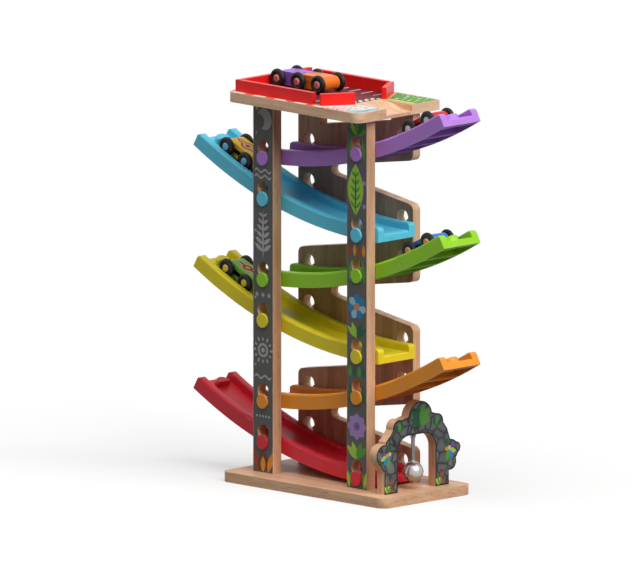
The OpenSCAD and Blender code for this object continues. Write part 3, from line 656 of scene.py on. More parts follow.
class Palette:
    """All finishes of the toy."""

    DECK = WoodFinish("pale_beech_deck", BEECH_LIGHT, BEECH_DARK, Board.ALONG_X)
    BASE = WoodFinish("warm_beech_base", WARM_LIGHT, WARM_DARK, Board.ALONG_X)
    UPRIGHT = WoodFinish("warm_beech_upright", WARM_LIGHT, WARM_DARK, Board.ALONG_Z)
    # The panel's broad faces are darker than its edges: painted shade on the same beech.
    PANEL = PanelFinish("panel_painted_shade", PANEL_SHADED_LIGHT, PANEL_SHADED_DARK, Board.ALONG_Z, 0.3,
                        edge_light=BEECH_LIGHT, edge_dark=BEECH_DARK)
    PURPLE = MouldedFinish("purple_moulding", srgb(192, 134, 230))
    BLUE = MouldedFinish("blue_moulding", srgb(104, 220, 250))
    GREEN = MouldedFinish("green_moulding", srgb(154, 218, 34))
    YELLOW = MouldedFinish("yellow_moulding", srgb(246, 226, 38))
    ORANGE = MouldedFinish("orange_moulding", srgb(246, 156, 40))
    RED = MouldedFinish("red_moulding", srgb(222, 40, 58))
    FENCE = PaintFinish("red_fence_paint", srgb(246, 30, 28))
    CAR_RED = PaintFinish("red_body_gloss", srgb(214, 34, 40))
    CAR_YELLOW = PaintFinish("yellow_body_gloss", srgb(252, 202, 52))
    CAR_BLUE = PaintFinish("blue_body_gloss", srgb(60, 120, 205))
    CAR_GREEN = PaintFinish("green_body_gloss", srgb(130, 196, 70))
    CAR_PURPLE = PaintFinish("purple_body_gloss", srgb(158, 94, 212))
    CAR_ORANGE = PaintFinish("orange_body_gloss", srgb(240, 122, 32))
    CHROME = MetalFinish("polished_bell", (0.48, 0.46, 0.45), (0.24, 0.36))
    STRAP = MetalFinish("strap_metal", (0.22, 0.21, 0.21), (0.30, 0.46))
    STEEL = MetalFinish("plain_steel", (0.6, 0.6, 0.62), (0.3, 0.45))
    TYRE = TyreFinish("black_wheel", srgb(15, 15, 16), srgb(70, 68, 66))
    RIM_PALE = PaintFinish("pale_rim", srgb(190, 176, 174))
    RIM_SKY = PaintFinish("sky_rim", srgb(176, 212, 232))
    RIM_AMBER = PaintFinish("amber_rim", srgb(238, 196, 140))
    RIM_YELLOW = PaintFinish("yellow_rim", srgb(232, 224, 150))
    RIM_CORAL = PaintFinish("coral_rim", srgb(232, 172, 168))
    HUB_PALE = PaintFinish("pale_disc_gloss", srgb(226, 205, 200))
    HUB_SKY = PaintFinish("sky_disc_gloss", srgb(128, 204, 244))
    HUB_AMBER = PaintFinish("amber_disc_gloss", srgb(240, 150, 50))
    HUB_YELLOW = PaintFinish("yellow_disc_gloss", srgb(236, 214, 50))
    HUB_CORAL = PaintFinish("coral_disc_gloss", srgb(228, 100, 96))
    STONE = StoneFinish("slate_stonework", srgb(124, 128, 126), srgb(66, 72, 74), srgb(30, 34, 36))
    CHARCOAL = InkFinish("charcoal_ink", srgb(96, 97, 96))
    BLACK = InkFinish("black_ink", srgb(24, 26, 28))
    GREY = InkFinish("pale_grey_ink", srgb(188, 188, 186))
    WHITE = InkFinish("white_ink", srgb(242, 240, 236))
    MAROON = InkFinish("maroon_ink", srgb(116, 28, 42))
    SCARLET = InkFinish("scarlet_ink", srgb(228, 40, 40))
    PINK = InkFinish("pink_ink", srgb(238, 150, 150))
    SKY = InkFinish("sky_ink", srgb(164, 212, 226))
    LIME = InkFinish("lime_ink", srgb(172, 214, 84))
    LEAF = InkFinish("leaf_green_ink", srgb(92, 156, 62))
    PINE = InkFinish("pine_green_ink", srgb(34, 92, 62))
    AZURE = InkFinish("azure_ink", srgb(52, 138, 196))
    LILAC = InkFinish("lilac_ink", srgb(176, 146, 204))
    VIOLET = InkFinish("violet_ink", srgb(112, 76, 160))
    AMBER = InkFinish("amber_ink", srgb(236, 152, 56))
    RUST = InkFinish("rust_ink", srgb(158, 74, 40))
    BARK = InkFinish("bark_ink", srgb(112, 66, 46))
    PEACH = InkFinish("peach_ink", srgb(238, 190, 146))
    LEMON = InkFinish("lemon_ink", srgb(238, 216, 110))


class Edge(Enum):
    """Width of the eased edges that a finish leaves on a node, in metres."""

    BOARD = 0.0009
    STRIP = 0.0011
    CAR = 0.0013
    MOULDING = 0.0004
    NONE = 0.0


WELD_REACH = 0.002 * MM
EASE_SEGMENTS = 3
SHARP_DEG = 40


def dress(node: str, finish: Finish, edge: Edge = Edge.NONE) -> None:
    """Give a CAD node its finish and its eased edges.

    Args:
        node: The node's name.
        finish: The finish that the whole node gets.
        edge: How wide its sharp edges are eased.
    """
    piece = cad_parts[node]
    piece.data.materials.clear()
    piece.data.materials.append(finish.material())
    if edge is not Edge.NONE:
        weld = piece.modifiers.new("joined_faces", "WELD")
        weld.merge_threshold = WELD_REACH
        ease = piece.modifiers.new("eased_edges", "BEVEL")
        ease.width = edge.value
        ease.segments = EASE_SEGMENTS
        ease.limit_method = "ANGLE"
        ease.angle_limit = math.radians(SHARP_DEG)
        ease.harden_normals = True
    LOG.info("%s: %s", node, finish.name)


class Shape(Enum):
    """Kinds of printed shape. A leaf and a petal grow from their foot, the others lie about their middle."""

    DOT = "dot"
    LEAF = "leaf"
    PETAL = "petal"
    CRESCENT = "crescent"
    STAR = "star"
    TILE = "tile"
    WAVE = "wave"


def steps(count: int, low: float = 0.0, high: float = 1.0) -> list[float]:
    """Give evenly spaced numbers from low to high, both included."""
    return [low + (high - low) * i / (count - 1) for i in range(count)]


def mirrored(right: Loop) -> Loop:
    """Close an outline whose right side runs from its foot to its tip."""
    return right + [(-x, y) for x, y in reversed(right[1:-1])]


ROUND_POINTS, CORNER_POINTS = 33, 6
LEAF_POINTS, LEAF_FULLNESS = 15, 0.9
PETAL_POINTS, PETAL_FULLNESS, PETAL_SKEW = 19, 0.8, 1.7
CRESCENT_POINTS, HORN_TURN = 25, 0.75
HOLLOW_POINTS, HOLLOW_TURN, HOLLOW_DEPTH = 21, 1.4, 0.9
STAR_POINTS, STAR_WAIST = 7, 0.45
TILE_CORNER = 0.3
WAVE_SWING, WAVE_BAND = 0.3, 0.2


def outline(shape: Shape, length: float, width: float) -> Loop:
    """Draw a shape's outline, against the clock.

    Args:
        shape: The kind of shape.
        length: Its size along its own upright.
        width: Its size across.

    Returns:
        The outline's points, in the units of length and width.
    """
    half, tall, turn = width / 2, length / 2, 2 * math.pi
    if shape is Shape.DOT:
        return [(half * math.cos(a), tall * math.sin(a)) for a in steps(ROUND_POINTS, 0, turn)[:-1]]
    if shape is Shape.LEAF:
        return mirrored([(half * math.sin(math.pi * t) ** LEAF_FULLNESS, length * t)
                         for t in steps(LEAF_POINTS)])
    if shape is Shape.PETAL:
        return mirrored([(half * math.sin(math.pi * t ** PETAL_SKEW) ** PETAL_FULLNESS, length * t)
                         for t in steps(PETAL_POINTS)])
    if shape is Shape.CRESCENT:
        outer = [(half * math.cos(a), tall * math.sin(a))
                 for a in steps(CRESCENT_POINTS, HORN_TURN, turn - HORN_TURN)]
        tip_x, tip_y = outer[0]
        inner = [(tip_x - HOLLOW_DEPTH * tip_y * math.cos(a), tip_y * math.sin(a))
                 for a in steps(HOLLOW_POINTS, -HOLLOW_TURN, HOLLOW_TURN)]
        return outer + inner
    if shape is Shape.STAR:
        radii = [1.0, STAR_WAIST] * STAR_POINTS
        return [(half * r * math.cos(a), tall * r * math.sin(a))
                for r, a in zip(radii, steps(len(radii) + 1, 0, turn))]
    if shape is Shape.TILE:
        r = TILE_CORNER * min(half, tall)
        corners = ((1, 1, 0.0), (-1, 1, 0.25), (-1, -1, 0.5), (1, -1, 0.75))
        return [(sx * (half - r) + r * math.cos(turn * (q + t)),
                 sy * (tall - r) + r * math.sin(turn * (q + t)))
                for sx, sy, q in corners for t in steps(CORNER_POINTS, 0, 0.25)]
    crest = [(width * t - half, WAVE_SWING * length * math.sin(2 * turn * t)) for t in steps(ROUND_POINTS)]
    band = WAVE_BAND * length
    return [(x, y - band) for x, y in crest] + [(x, y + band) for x, y in reversed(crest)]


@dataclass(frozen=True)
class Mark:
    """A printed shape: its foot or middle and its sizes in millimetres, its ink, turn and layer."""

    shape: Shape
    across: float
    up: float
    length: float
    width: float
    ink: InkFinish
    turn_deg: float = 0.0
    layer: int = 1

    def loop(self) -> Loop:
        """Give the outline on the face, in millimetres."""
        turn = math.radians(self.turn_deg)
        cos, sin = math.cos(turn), math.sin(turn)
        return [(self.across + x * cos - y * sin, self.up + x * sin + y * cos)
                for x, y in outline(self.shape, self.length, self.width)]


@dataclass(frozen=True)
class Field:
    """A printed area with straight sides, in millimetres on the face."""

    corners: tuple[Point, ...]
    ink: InkFinish
    layer: int = 1

    def loop(self) -> Loop:
        """Give the outline on the face, in millimetres."""
        return list(self.corners)


Print = Union[Mark, Field]


def strip(low: Point, high: Point, ink: InkFinish) -> Field:
    """Give a straight strip between two opposite corners."""
    return Field((low, (high[0], low[1]), high, (low[0], high[1])), ink)


def fan(across: float, up: float, length: float, width: float, turns: Sequence[float],
        inks: Sequence[InkFinish], shape: Shape = Shape.LEAF, layer: int = 1) -> list[Print]:
    """Spread leaves or petals about one foot.

    Args:
        across: Place of the foot across the face.
        up: Place of the foot up the face.
        length: Length of each leaf.
        width: Width of each leaf.
        turns: Turn of each leaf against the clock, in degrees.
        inks: Inks that the leaves take in turn.
        shape: The kind of leaf.
        layer: Layer of the print.

    Returns:
        The marks.
    """
    return [Mark(shape, across, up, length, width, inks[i % len(inks)], turn, layer)
            for i, turn in enumerate(turns)]


def flower(across: float, up: float, reach: float, petals: int, inks: Sequence[InkFinish],
           heart: InkFinish) -> list[Print]:
    """Draw an open flower: petals about a round heart with a ring of seeds.

    Args:
        across: Place of the heart across the face.
        up: Place of the heart up the face.
        reach: Length of a petal.
        petals: How many petals there are.
        inks: Inks that the petals take in turn.
        heart: Ink of the heart.

    Returns:
        The marks.
    """
    petal_w, heart_d, seed_d, seed_ring = 0.62 * reach, 0.6 * reach, 0.09 * reach, 0.19 * reach
    turns = [360 * i / petals for i in range(petals)]
    marks = fan(across, up, reach, petal_w, turns, inks, Shape.PETAL)
    marks.append(Mark(Shape.DOT, across, up, heart_d, heart_d, heart, layer=2))
    for turn in turns:
        angle = math.radians(turn)
        seed_x, seed_y = across + seed_ring * math.sin(angle), up + seed_ring * math.cos(angle)
        marks.append(Mark(Shape.DOT, seed_x, seed_y, seed_d, seed_d, inks[0], layer=3))
    return marks


def fern(across: float, up: float, length: float, ink: InkFinish, pairs: int = 6) -> list[Print]:
    """Draw an upright fern whose leaflets shorten towards its tip.

    Args:
        across: Place of the fern's foot across the face.
        up: Place of the fern's foot up the face.
        length: The fern's length.
        ink: Its ink.
        pairs: How many pairs of leaflets it has.

    Returns:
        The marks.
    """
    rib_share, lowest, highest = 0.05, 0.16, 0.84
    first_share, shortening, slimness, lean_deg = 0.27, 0.026, 0.32, 56
    marks: list[Print] = [Mark(Shape.LEAF, across, up, length, rib_share * length, ink)]
    for i, share in enumerate(steps(pairs, lowest, highest)):
        leaflet = (first_share - shortening * i) * length
        marks += fan(across, up + share * length, leaflet, slimness * leaflet, (-lean_deg, lean_deg), (ink,),
                     layer=2)
    return marks


def row(shape: Shape, first: Point, step: Point, count: int, length: float, width: float,
        inks: Sequence[InkFinish], layer: int = 1) -> list[Print]:
    """Repeat a shape along a straight line.

    Args:
        shape: The kind of shape.
        first: Place of the first one.
        step: Step from one to the next.
        count: How many there are.
        length: Length of each.
        width: Width of each.
        inks: Inks that they take in turn.
        layer: Layer of the print.

    Returns:
        The marks.
    """
    return [Mark(shape, first[0] + i * step[0], first[1] + i * step[1], length, width, inks[i % len(inks)],
                 layer=layer) for i in range(count)]


SHEET = 0.05 * MM
INK_STEP = 0.04 * MM
OVERLAP_STEP = 0.004 * MM
OVERLAP_TURN = 8
SAME_WAY = 0.999


def thin_solid(piece: bpy.types.Object, thickness: float) -> None:
    """Give a flat print its thickness, down to the board."""
    coat = piece.modifiers.new("ink_body", "SOLIDIFY")
    coat.thickness = thickness
    coat.offset = -1.0


def add_piece(name: str, shapes: bmesh.types.BMesh, finishes: Sequence[Finish], body: str) -> bpy.types.Object:
    """Make a piece of a mesh and let it ride on a body.

    Args:
        name: The piece's name.
        shapes: Its mesh, which is used up.
        finishes: Its finishes, in the order of its faces' material numbers.
        body: The body that it rides on.

    Returns:
        The piece.
    """
    mesh = bpy.data.meshes.new(name)
    shapes.to_mesh(mesh)
    shapes.free()
    for finish in finishes:
        mesh.materials.append(finish.material())
    piece = bpy.data.objects.new(name, mesh)
    bpy.context.scene.collection.objects.link(piece)
    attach(piece, body)
    LOG.info("%s: on %s", name, body)
    return piece


def face_sheet(name: str, node: str, toward: Vector, finish: Finish, rim: Optional[Finish] = None,
               rim_width: float = 0.0) -> None:
    """Cover the outermost flat face of a board with a printed sheet.

    Args:
        name: The sheet's name.
        node: The board's node.
        toward: The direction that the face looks in.
        finish: Finish of the sheet.
        rim: Finish of a border along the sheet's edge, on a face without holes.
        rim_width: Width of the border.
    """
    sheet = bmesh.new()
    sheet.from_mesh(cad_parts[node].data)
    reach = max(v.co.dot(toward) for v in sheet.verts)
    spare = [f for f in sheet.faces
             if f.normal.dot(toward) < SAME_WAY or reach - f.calc_center_median().dot(toward) > SHEET]
    bmesh.ops.delete(sheet, geom=spare, context="FACES")
    bmesh.ops.remove_doubles(sheet, verts=sheet.verts, dist=WELD_REACH)
    bmesh.ops.translate(sheet, verts=sheet.verts, vec=toward * SHEET)
    if rim is not None:
        bmesh.ops.dissolve_faces(sheet, faces=sheet.faces)
        border = bmesh.ops.inset_region(sheet, faces=sheet.faces, thickness=rim_width, use_even_offset=True,
                                        use_boundary=True)
        for face in border["faces"]:
            face.material_index = 1
    finishes = [finish] if rim is None else [finish, rim]
    thin_solid(add_piece(name, sheet, finishes, "track"), SHEET)


@dataclass
class PrintedFace:
    """A print in several inks on one flat face, with its place and its two directions."""

    name: str
    body: str
    slot: str
    origin: Vector
    right: Vector
    up: Vector
    marks: list[Print]
    ground: float = 0.0

    def build(self) -> None:
        """Make one mesh of thin flat shapes, with a material for each ink."""
        out = self.right.cross(self.up)
        inks = list(dict.fromkeys(mark.ink for mark in self.marks))
        shapes = bmesh.new()
        for i, mark in enumerate(self.marks):
            height = self.ground + mark.layer * INK_STEP + i % OVERLAP_TURN * OVERLAP_STEP
            base = self.origin + out * height
            corners = [shapes.verts.new(base + self.right * (x * MM) + self.up * (y * MM))
                       for x, y in mark.loop()]
            shapes.faces.new(corners).material_index = inks.index(mark.ink)
        thin_solid(add_piece(self.name, shapes, inks, self.body), INK_STEP)


X_AXIS, Y_AXIS, Z_AXIS = Vector((1, 0, 0)), Vector((0, 1, 0)), Vector((0, 0, 1))


@dataclass
class Stand:
    """Base plate, two posts, back panel and deck with what holds them together."""

    posts: tuple[str, ...] = ("left_post", "right_post")
    pegs: tuple[str, ...] = ("deck_dowels", "arch_dowels", "rail_pins")

    def build(self) -> None:
        """Dress the boards and the hidden fasteners."""
        dress("base_plate", Palette.BASE, Edge.BOARD)
        dress("top_deck", Palette.DECK, Edge.BOARD)
        for post in self.posts:
            dress(post, Palette.UPRIGHT)
        dress("back_panel", Palette.PANEL)
        dress("base_screws", Palette.STEEL)
        for pegs in self.pegs:
            dress(pegs, Palette.UPRIGHT)


@dataclass
class PostPrints:
    """Charcoal fronts of the two posts, with pale motifs on the left and coloured plants on the right.

    Places are in millimetres, across from the post's middle and up from the floor.
    """

    foot: float = 12.5
    sun_up: float = 158.0
    sun_ring: float = 11.0
    rays: int = 12
    leaf_foot: Point = (-2.0, 338.0)
    edge: float = 12.4

    def build(self) -> None:
        """Lay the charcoal sheets and print on them, from the top down."""
        for side, marks in (("left", self.night_marks()), ("right", self.garden_marks())):
            node = f"{side}_post"
            face_sheet(f"{side}_post_front", node, -Y_AXIS, Palette.CHARCOAL)
            low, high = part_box(node)
            origin = Vector(((low[0] + high[0]) / 2, low[1], 0.0))
            PrintedFace(f"{side}_post_print", "track", "slate_paint", origin, X_AXIS, Z_AXIS, marks,
                        SHEET).build()

    def night_marks(self) -> list[Print]:
        """Give the left post's moon, waves, fern, sun and the warm leaves at its foot."""
        grey = Palette.GREY
        marks: list[Print] = [
            Mark(Shape.CRESCENT, across=2, up=434, length=26, width=24, ink=grey, turn_deg=200),
            Mark(Shape.STAR, across=-10, up=446, length=7.5, width=7.5, ink=grey),
            Mark(Shape.DOT, across=12, up=448, length=2.4, width=2.4, ink=grey),
            Mark(Shape.DOT, across=-11, up=417, length=2.4, width=2.4, ink=grey),
            Mark(Shape.WAVE, across=0, up=372, length=6, width=27, ink=grey),
            Mark(Shape.WAVE, across=0, up=365, length=6, width=27, ink=grey),
            Mark(Shape.DOT, across=0, up=self.sun_up, length=17, width=17, ink=grey),
            Mark(Shape.DOT, across=0, up=self.sun_up, length=11, width=11, ink=Palette.CHARCOAL, layer=2),
            Mark(Shape.DOT, across=0, up=self.sun_up, length=6, width=6, ink=grey, layer=3),
            Mark(Shape.WAVE, across=0, up=126, length=6, width=27, ink=grey),
        ]
        for i in range(self.rays):
            turn = 360 / self.rays * i
            angle = math.radians(turn)
            across, rise = self.sun_ring * math.sin(angle), self.sun_ring * math.cos(angle)
            marks += fan(across, self.sun_up + rise, length=6.5 if i % 2 else 4.5, width=3, turns=(-turn,),
                         inks=(grey,))
        marks += fern(across=0, up=266, length=61, ink=grey)
        marks += row(Shape.STAR, first=(-10, 224), step=(10, 0), count=3, length=7, width=7, inks=(grey,))
        marks += row(Shape.DOT, first=(-10, 79), step=(5, 0), count=5, length=3, width=3, inks=(grey,))
        marks += row(Shape.DOT, first=(-12.5, 300), step=(0, -80), count=3, length=3, width=3, inks=(grey,))
        marks += fan(across=-7, up=self.foot, length=27, width=9, turns=(16, -14),
                     inks=(Palette.RUST, Palette.BARK))
        marks += fan(across=8, up=self.foot, length=25, width=8, turns=(12, -18),
                     inks=(Palette.BARK, Palette.AMBER))
        marks += fan(across=0, up=self.foot, length=19, width=8, turns=(0,), inks=(Palette.AMBER,), layer=2)
        return marks

    def garden_marks(self) -> list[Print]:
        """Give the right post's sprigs, broad leaf and flowers, and the grass at its foot."""
        greens = (Palette.PINE, Palette.LEAF, Palette.LIME)
        marks: list[Print] = fan(across=0, up=433.5, length=19, width=6.5, turns=(64, -64, 34, -34, 0),
                                 inks=greens)
        for side in (-1, 1):
            across, lean = self.edge * side, 7 * side
            marks += fan(across, up=404, length=26, width=5, turns=(lean,), inks=(Palette.LEAF,))
            marks += fan(12.6 * side, up=258, length=26, width=5, turns=(lean,), inks=(Palette.LEAF,))
            marks += fan(across, up=112, length=26, width=5, turns=(lean,), inks=(Palette.PINE,))
            marks += fan(across, up=self.foot, length=20, width=5, turns=(8 * side, -8 * side),
                         inks=greens[1:])
        leaf_x, leaf_z = self.leaf_foot
        marks += fan(leaf_x, leaf_z, length=62, width=26, turns=(0,), inks=(Palette.LIME,))
        for i, height in enumerate(steps(5, 346, 384)):
            marks += fan(leaf_x, height, length=13 - i, width=3.6, turns=(-42, 42), inks=(Palette.LEAF,),
                         layer=2)
        marks += fan(leaf_x, leaf_z, length=56, width=2.4, turns=(0,), inks=(Palette.PINE,), layer=3)
        marks += row(Shape.DOT, first=(12.2, 350), step=(0, 14), count=4, length=5.6, width=5.6,
                     inks=(Palette.LILAC, Palette.VIOLET))
        marks += row(Shape.LEAF, first=(-11, 289), step=(7.4, 0), count=4, length=15, width=5.5,
                     inks=(Palette.RUST, Palette.AMBER))
        marks += flower(across=0, up=229, reach=15.5, petals=7, inks=(Palette.AZURE, Palette.SKY),
                        heart=Palette.AMBER)
        marks += fan(across=0, up=192, length=20, width=7, turns=(50, -50, 24, -24),
                     inks=(Palette.LIME, Palette.PINE))
        marks += row(Shape.LEAF, first=(-11, 144), step=(7.4, 0), count=4, length=15, width=5.5,
                     inks=(Palette.LEAF, Palette.PINE))
        marks += flower(across=0, up=86, reach=15.8, petals=8, inks=(Palette.LILAC,), heart=Palette.VIOLET)
        marks += fan(across=0, up=47, length=22, width=8, turns=(46, -46, 20, -20),
                     inks=(Palette.LIME, Palette.LEAF))
        return marks


@dataclass
class DeckPrints:
    """Prints on the deck: the yard inside the fence, the kerbs outside it and two corner patches.

    Places are in millimetres from the deck's origin, along X and Y.
    """

    yard_left: float = -102.0
    yard_half_w: float = 55.0
    throat_x: float = 50.2
    throat_half_w: float = 24.2
    funnel_x: float = 30.4
    bay_x: float = -92.0
    bay_y: float = 42.0
    chequer_x: Range = (41.5, 46.5)
    kerb_w: float = 5.0
    kerb_y: float = 65.0
    kerb_left: float = -108.0
    kerb_right: float = 24.0
    end_kerb_x: float = -112.0
    end_kerb_half: float = 56.0
    dash_l: float = 19.0
    dash_pitch: float = 34.0
    front_loop: tuple[Point, ...] = ((27, -66.5), (91.5, -66.5), (99, -63), (101.5, -56), (101.5, -24.5),
                                     (58.5, -24.5), (36.5, -62.5), (27, -62.5))
    stream_loop: tuple[Point, ...] = ((76, -66), (91.5, -66), (99, -62.5), (101, -56), (101, -25), (93, -25),
                                      (88, -45))
    rear_loop: tuple[Point, ...] = ((58.5, 24.5), (101.5, 24.5), (101.5, 66.5), (33, 66.5), (36.5, 62.5))
    path_loop: tuple[Point, ...] = ((59.5, 25.5), (100.5, 25.5), (100.5, 31), (57, 31))

    def build(self) -> None:
        """Print all of them on the deck's top."""
        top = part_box("top_deck")[1][2]
        marks = self.yard() + self.kerbs() + self.front_patch() + self.rear_patch()
        PrintedFace("deck_print", "track", "red_paint", Vector((0, 0, top)), X_AXIS, Y_AXIS, marks).build()

    def yard(self) -> list[Print]:
        """Give the maroon floor with its bays, lane dashes, arrow and chequered line."""
        white, black = Palette.WHITE, Palette.BLACK
        side = ((self.yard_left, -self.yard_half_w), (self.funnel_x, -self.yard_half_w),
                (self.throat_x, -self.throat_half_w))
        corners = side + tuple((x, -y) for x, y in reversed(side))
        marks: list[Print] = [Field(corners, Palette.MAROON)]
        for y in (-self.bay_y, self.bay_y):
            marks += row(Shape.TILE, first=(self.bay_x, y), step=(20, 0), count=7, length=20, width=1.8,
                         inks=(white,), layer=2)
        marks += row(Shape.TILE, first=(self.bay_x, 0), step=(17, 0), count=7, length=2, width=10,
                     inks=(white,), layer=2)
        marks += fan(across=28, up=0, length=16, width=8, turns=(60, 90, 120), inks=(white,), layer=2)
        for x, inks in zip(self.chequer_x, ((white, black), (black, white))):
            marks += row(Shape.TILE, first=(x, -22.5), step=(0, 5), count=10, length=4.8, width=4.8,
                         inks=inks, layer=2)
        return marks

    def kerbs(self) -> list[Print]:
        """Give the red strips with white dashes outside the fence."""
        half = self.kerb_w / 2
        red, white = Palette.SCARLET, (Palette.WHITE,)
        marks: list[Print] = []
        for y in (-self.kerb_y, self.kerb_y):
            marks.append(strip((self.kerb_left, y - half), (self.kerb_right, y + half), red))
            marks += row(Shape.TILE, first=(-97.5, y), step=(self.dash_pitch, 0), count=4, length=self.kerb_w,
                         width=self.dash_l, inks=white, layer=2)
        x, end = self.end_kerb_x, self.end_kerb_half
        marks.append(strip((x - half, -end), (x + half, end), red))
        marks += row(Shape.TILE, first=(x, -42), step=(0, self.dash_pitch), count=3, length=self.dash_l,
                     width=self.kerb_w, inks=white, layer=2)
        return marks

    def front_patch(self) -> list[Print]:
        """Give the pale patch at the front corner, with rows of blossoms and a stream."""
        pink, leaf = Palette.PINK, Palette.LEAF
        marks: list[Print] = [
            Field(self.front_loop, Palette.WHITE),
            Field(self.stream_loop, Palette.SKY, 2),
            Mark(Shape.WAVE, across=95, up=-45, length=5, width=38, ink=leaf, turn_deg=90, layer=3),
        ]
        marks += row(Shape.DOT, first=(42, -64), step=(7.5, 0), count=5, length=4, width=6,
                     inks=(pink, Palette.SCARLET), layer=2)
        marks += row(Shape.DOT, first=(52, -56), step=(7.5, 0), count=4, length=6, width=6,
                     inks=(pink,), layer=2)
        marks += row(Shape.STAR, first=(60, -46), step=(8.5, 0), count=3, length=7, width=7,
                     inks=(pink, leaf), layer=2)
        marks += row(Shape.STAR, first=(64, -33), step=(8.5, 0), count=3, length=7, width=7,
                     inks=(leaf, pink), layer=2)
        return marks

    def rear_patch(self) -> list[Print]:
        """Give the green patch at the rear corner, with white blossoms and a yellow path."""
        white, lime = Palette.WHITE, Palette.LIME
        marks: list[Print] = [Field(self.rear_loop, Palette.LEAF), Field(self.path_loop, Palette.LEMON, 2)]
        for first in ((62, 38), (67, 47), (62, 56)):
            marks += row(Shape.STAR, first, step=(10, 0), count=4, length=6.5, width=6.5, inks=(white, lime),
                         layer=2)
        marks += row(Shape.DOT, first=(48, 62.5), step=(8, 0), count=7, length=3.5, width=3.5,
                     inks=(lime, white), layer=2)
        return marks


@dataclass
class Ramps:
    """The six moulded ramps."""

    finishes: dict[str, Finish] = field(default_factory=lambda: {
        "purple_ramp": Palette.PURPLE, "blue_ramp": Palette.BLUE, "green_ramp": Palette.GREEN,
        "yellow_ramp": Palette.YELLOW, "orange_ramp": Palette.ORANGE, "red_ramp": Palette.RED})

    def build(self) -> None:
        """Dress each ramp in its own colour."""
        for node, finish in self.finishes.items():
            dress(node, finish, Edge.MOULDING)


@dataclass
class Fence:
    """The five red strips on the deck."""

    strips: tuple[str, ...] = ("left_end_rail", "front_rail", "rear_rail", "front_funnel_rail",
                               "rear_funnel_rail")

    def build(self) -> None:
        """Paint the strips."""
        for strip in self.strips:
            dress(strip, Palette.FENCE, Edge.STRIP)


@dataclass
class Gate:
    """The arch with its stonework print and its bell.

    Places of the print are in millimetres, along Y and up from the floor.
    """

    rim_width: float = 1.8 * MM
    crest: Point = (7.0, 88.0)
    shoulders: tuple[Point, Point] = ((-28.0, 84.0), (34.0, 84.0))
    lobes: tuple[Point, Point] = ((-47.0, 58.0), (52.0, 54.0))
    feet: Range = (-48.0, 37.0)

    def build(self) -> None:
        """Dress the arch board and the bell's metal, and print the arch's front."""
        dress("arch", Palette.UPRIGHT)
        for node in ("bell_upper_shell", "bell_lower_shell"):
            dress(node, Palette.CHROME)
        dress("bell_strap", Palette.STRAP)
        for node in ("bell_staple", "bell_pellet"):
            dress(node, Palette.STEEL)
        face_sheet("arch_front", "arch", X_AXIS, Palette.STONE, Palette.BLACK, self.rim_width)
        origin = Vector((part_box("arch")[1][0], 0, 0))
        PrintedFace("arch_print", "track", "slate_paint", origin, Y_AXIS, Z_AXIS, self.plants(),
                    SHEET).build()

    def plants(self) -> list[Print]:
        """Give the leaves on the crest and the side lobes, and the grass at the feet."""
        deep = (Palette.PINE, Palette.LEAF)
        bright = (Palette.PINE, Palette.VIOLET, Palette.LIME, Palette.AZURE, Palette.LEAF)
        marks: list[Print] = fan(*self.crest, length=18, width=8, turns=(60, -60), inks=deep)
        marks += fan(*self.crest, length=25, width=9, turns=(34, -34, 11, -11), inks=deep)
        for shoulder in self.shoulders:
            marks += fan(*shoulder, length=11, width=5, turns=(40, 0, -40), inks=deep)
        left, right = self.lobes
        marks += fan(*left, length=13.5, width=6, turns=(-14, 76, 110, 146, 184), inks=bright)
        marks += fan(*right, length=14.5, width=6, turns=(10, -70, -105, -145, 176), inks=bright)
        for y, z in self.lobes:
            marks += [Mark(Shape.DOT, y + 2.2, z + 1.8, length=5, width=5, ink=Palette.PEACH, layer=2),
                      Mark(Shape.DOT, y - 2.2, z + 0.6, length=5, width=5, ink=Palette.AMBER, layer=2)]
        for y in self.feet:
            marks += row(Shape.TILE, first=(y + 5, 16), step=(0, 4.6), count=4, length=3.6, width=7,
                         inks=(Palette.RUST, Palette.BARK))
            marks += fan(across=y, up=13, length=10, width=3.4, turns=(30, 10, -10, -30),
                         inks=(Palette.LIME, Palette.LEAF), layer=2)
        return marks


@dataclass
class Wheelset:
    """An axle with its two hubs, a coloured disc on each, and its two wheels."""

    stem: str
    body: str
    rim: Finish
    hub: Finish
    slot: str
    radius: float = 3.1 * MM
    dome: float = 0.3 * MM
    around: int = 40
    profile: tuple[Point, ...] = ((0.35, 0.72), (0.7, 0.96), (0.88, 0.84), (0.97, 0.5), (1.0, 0.0))

    def build(self) -> None:
        """Dress the axle and the wheels, and set a domed disc on each hub."""
        dress(f"{self.stem}_axle", self.rim)
        dress(f"{self.stem}_wheels", Palette.TYRE)
        low, high = (Vector(corner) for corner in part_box(f"{self.stem}_axle"))
        centre = (low + high) / 2
        discs = bmesh.new()
        for face_y, out in ((low.y, -Y_AXIS), (high.y, Y_AXIS)):
            self.add_disc(discs, Vector((centre.x, face_y, centre.z)), out)
        piece = add_piece(f"{self.stem}_hub_discs", discs, [self.hub], self.body)
        for polygon in piece.data.polygons:
            polygon.use_smooth = True

    def add_disc(self, discs: bmesh.types.BMesh, middle: Vector, out: Vector) -> None:
        """Add one closed disc with a rounded edge and a shallow dimple in its middle.

        Args:
            discs: The mesh that it goes into.
            middle: Middle of its back.
            out: The direction that it looks in.
        """
        rings = []
        for reach_share, height_share in self.profile:
            ring = []
            for angle in steps(self.around + 1, 0, 2 * math.pi)[:-1]:
                flat = X_AXIS * math.cos(angle) + Z_AXIS * math.sin(angle)
                ring.append(discs.verts.new(middle + flat * (reach_share * self.radius)
                                            + out * (height_share * self.dome)))
            rings.append(ring)
        for inner, outer in zip(rings, rings[1:]):
            for i in range(self.around):
                after = (i + 1) % self.around
                discs.faces.new((inner[i], inner[after], outer[after], outer[i]))
        discs.faces.new(rings[0])
        discs.faces.new(rings[-1])
        bmesh.ops.recalc_face_normals(discs, faces=discs.faces)


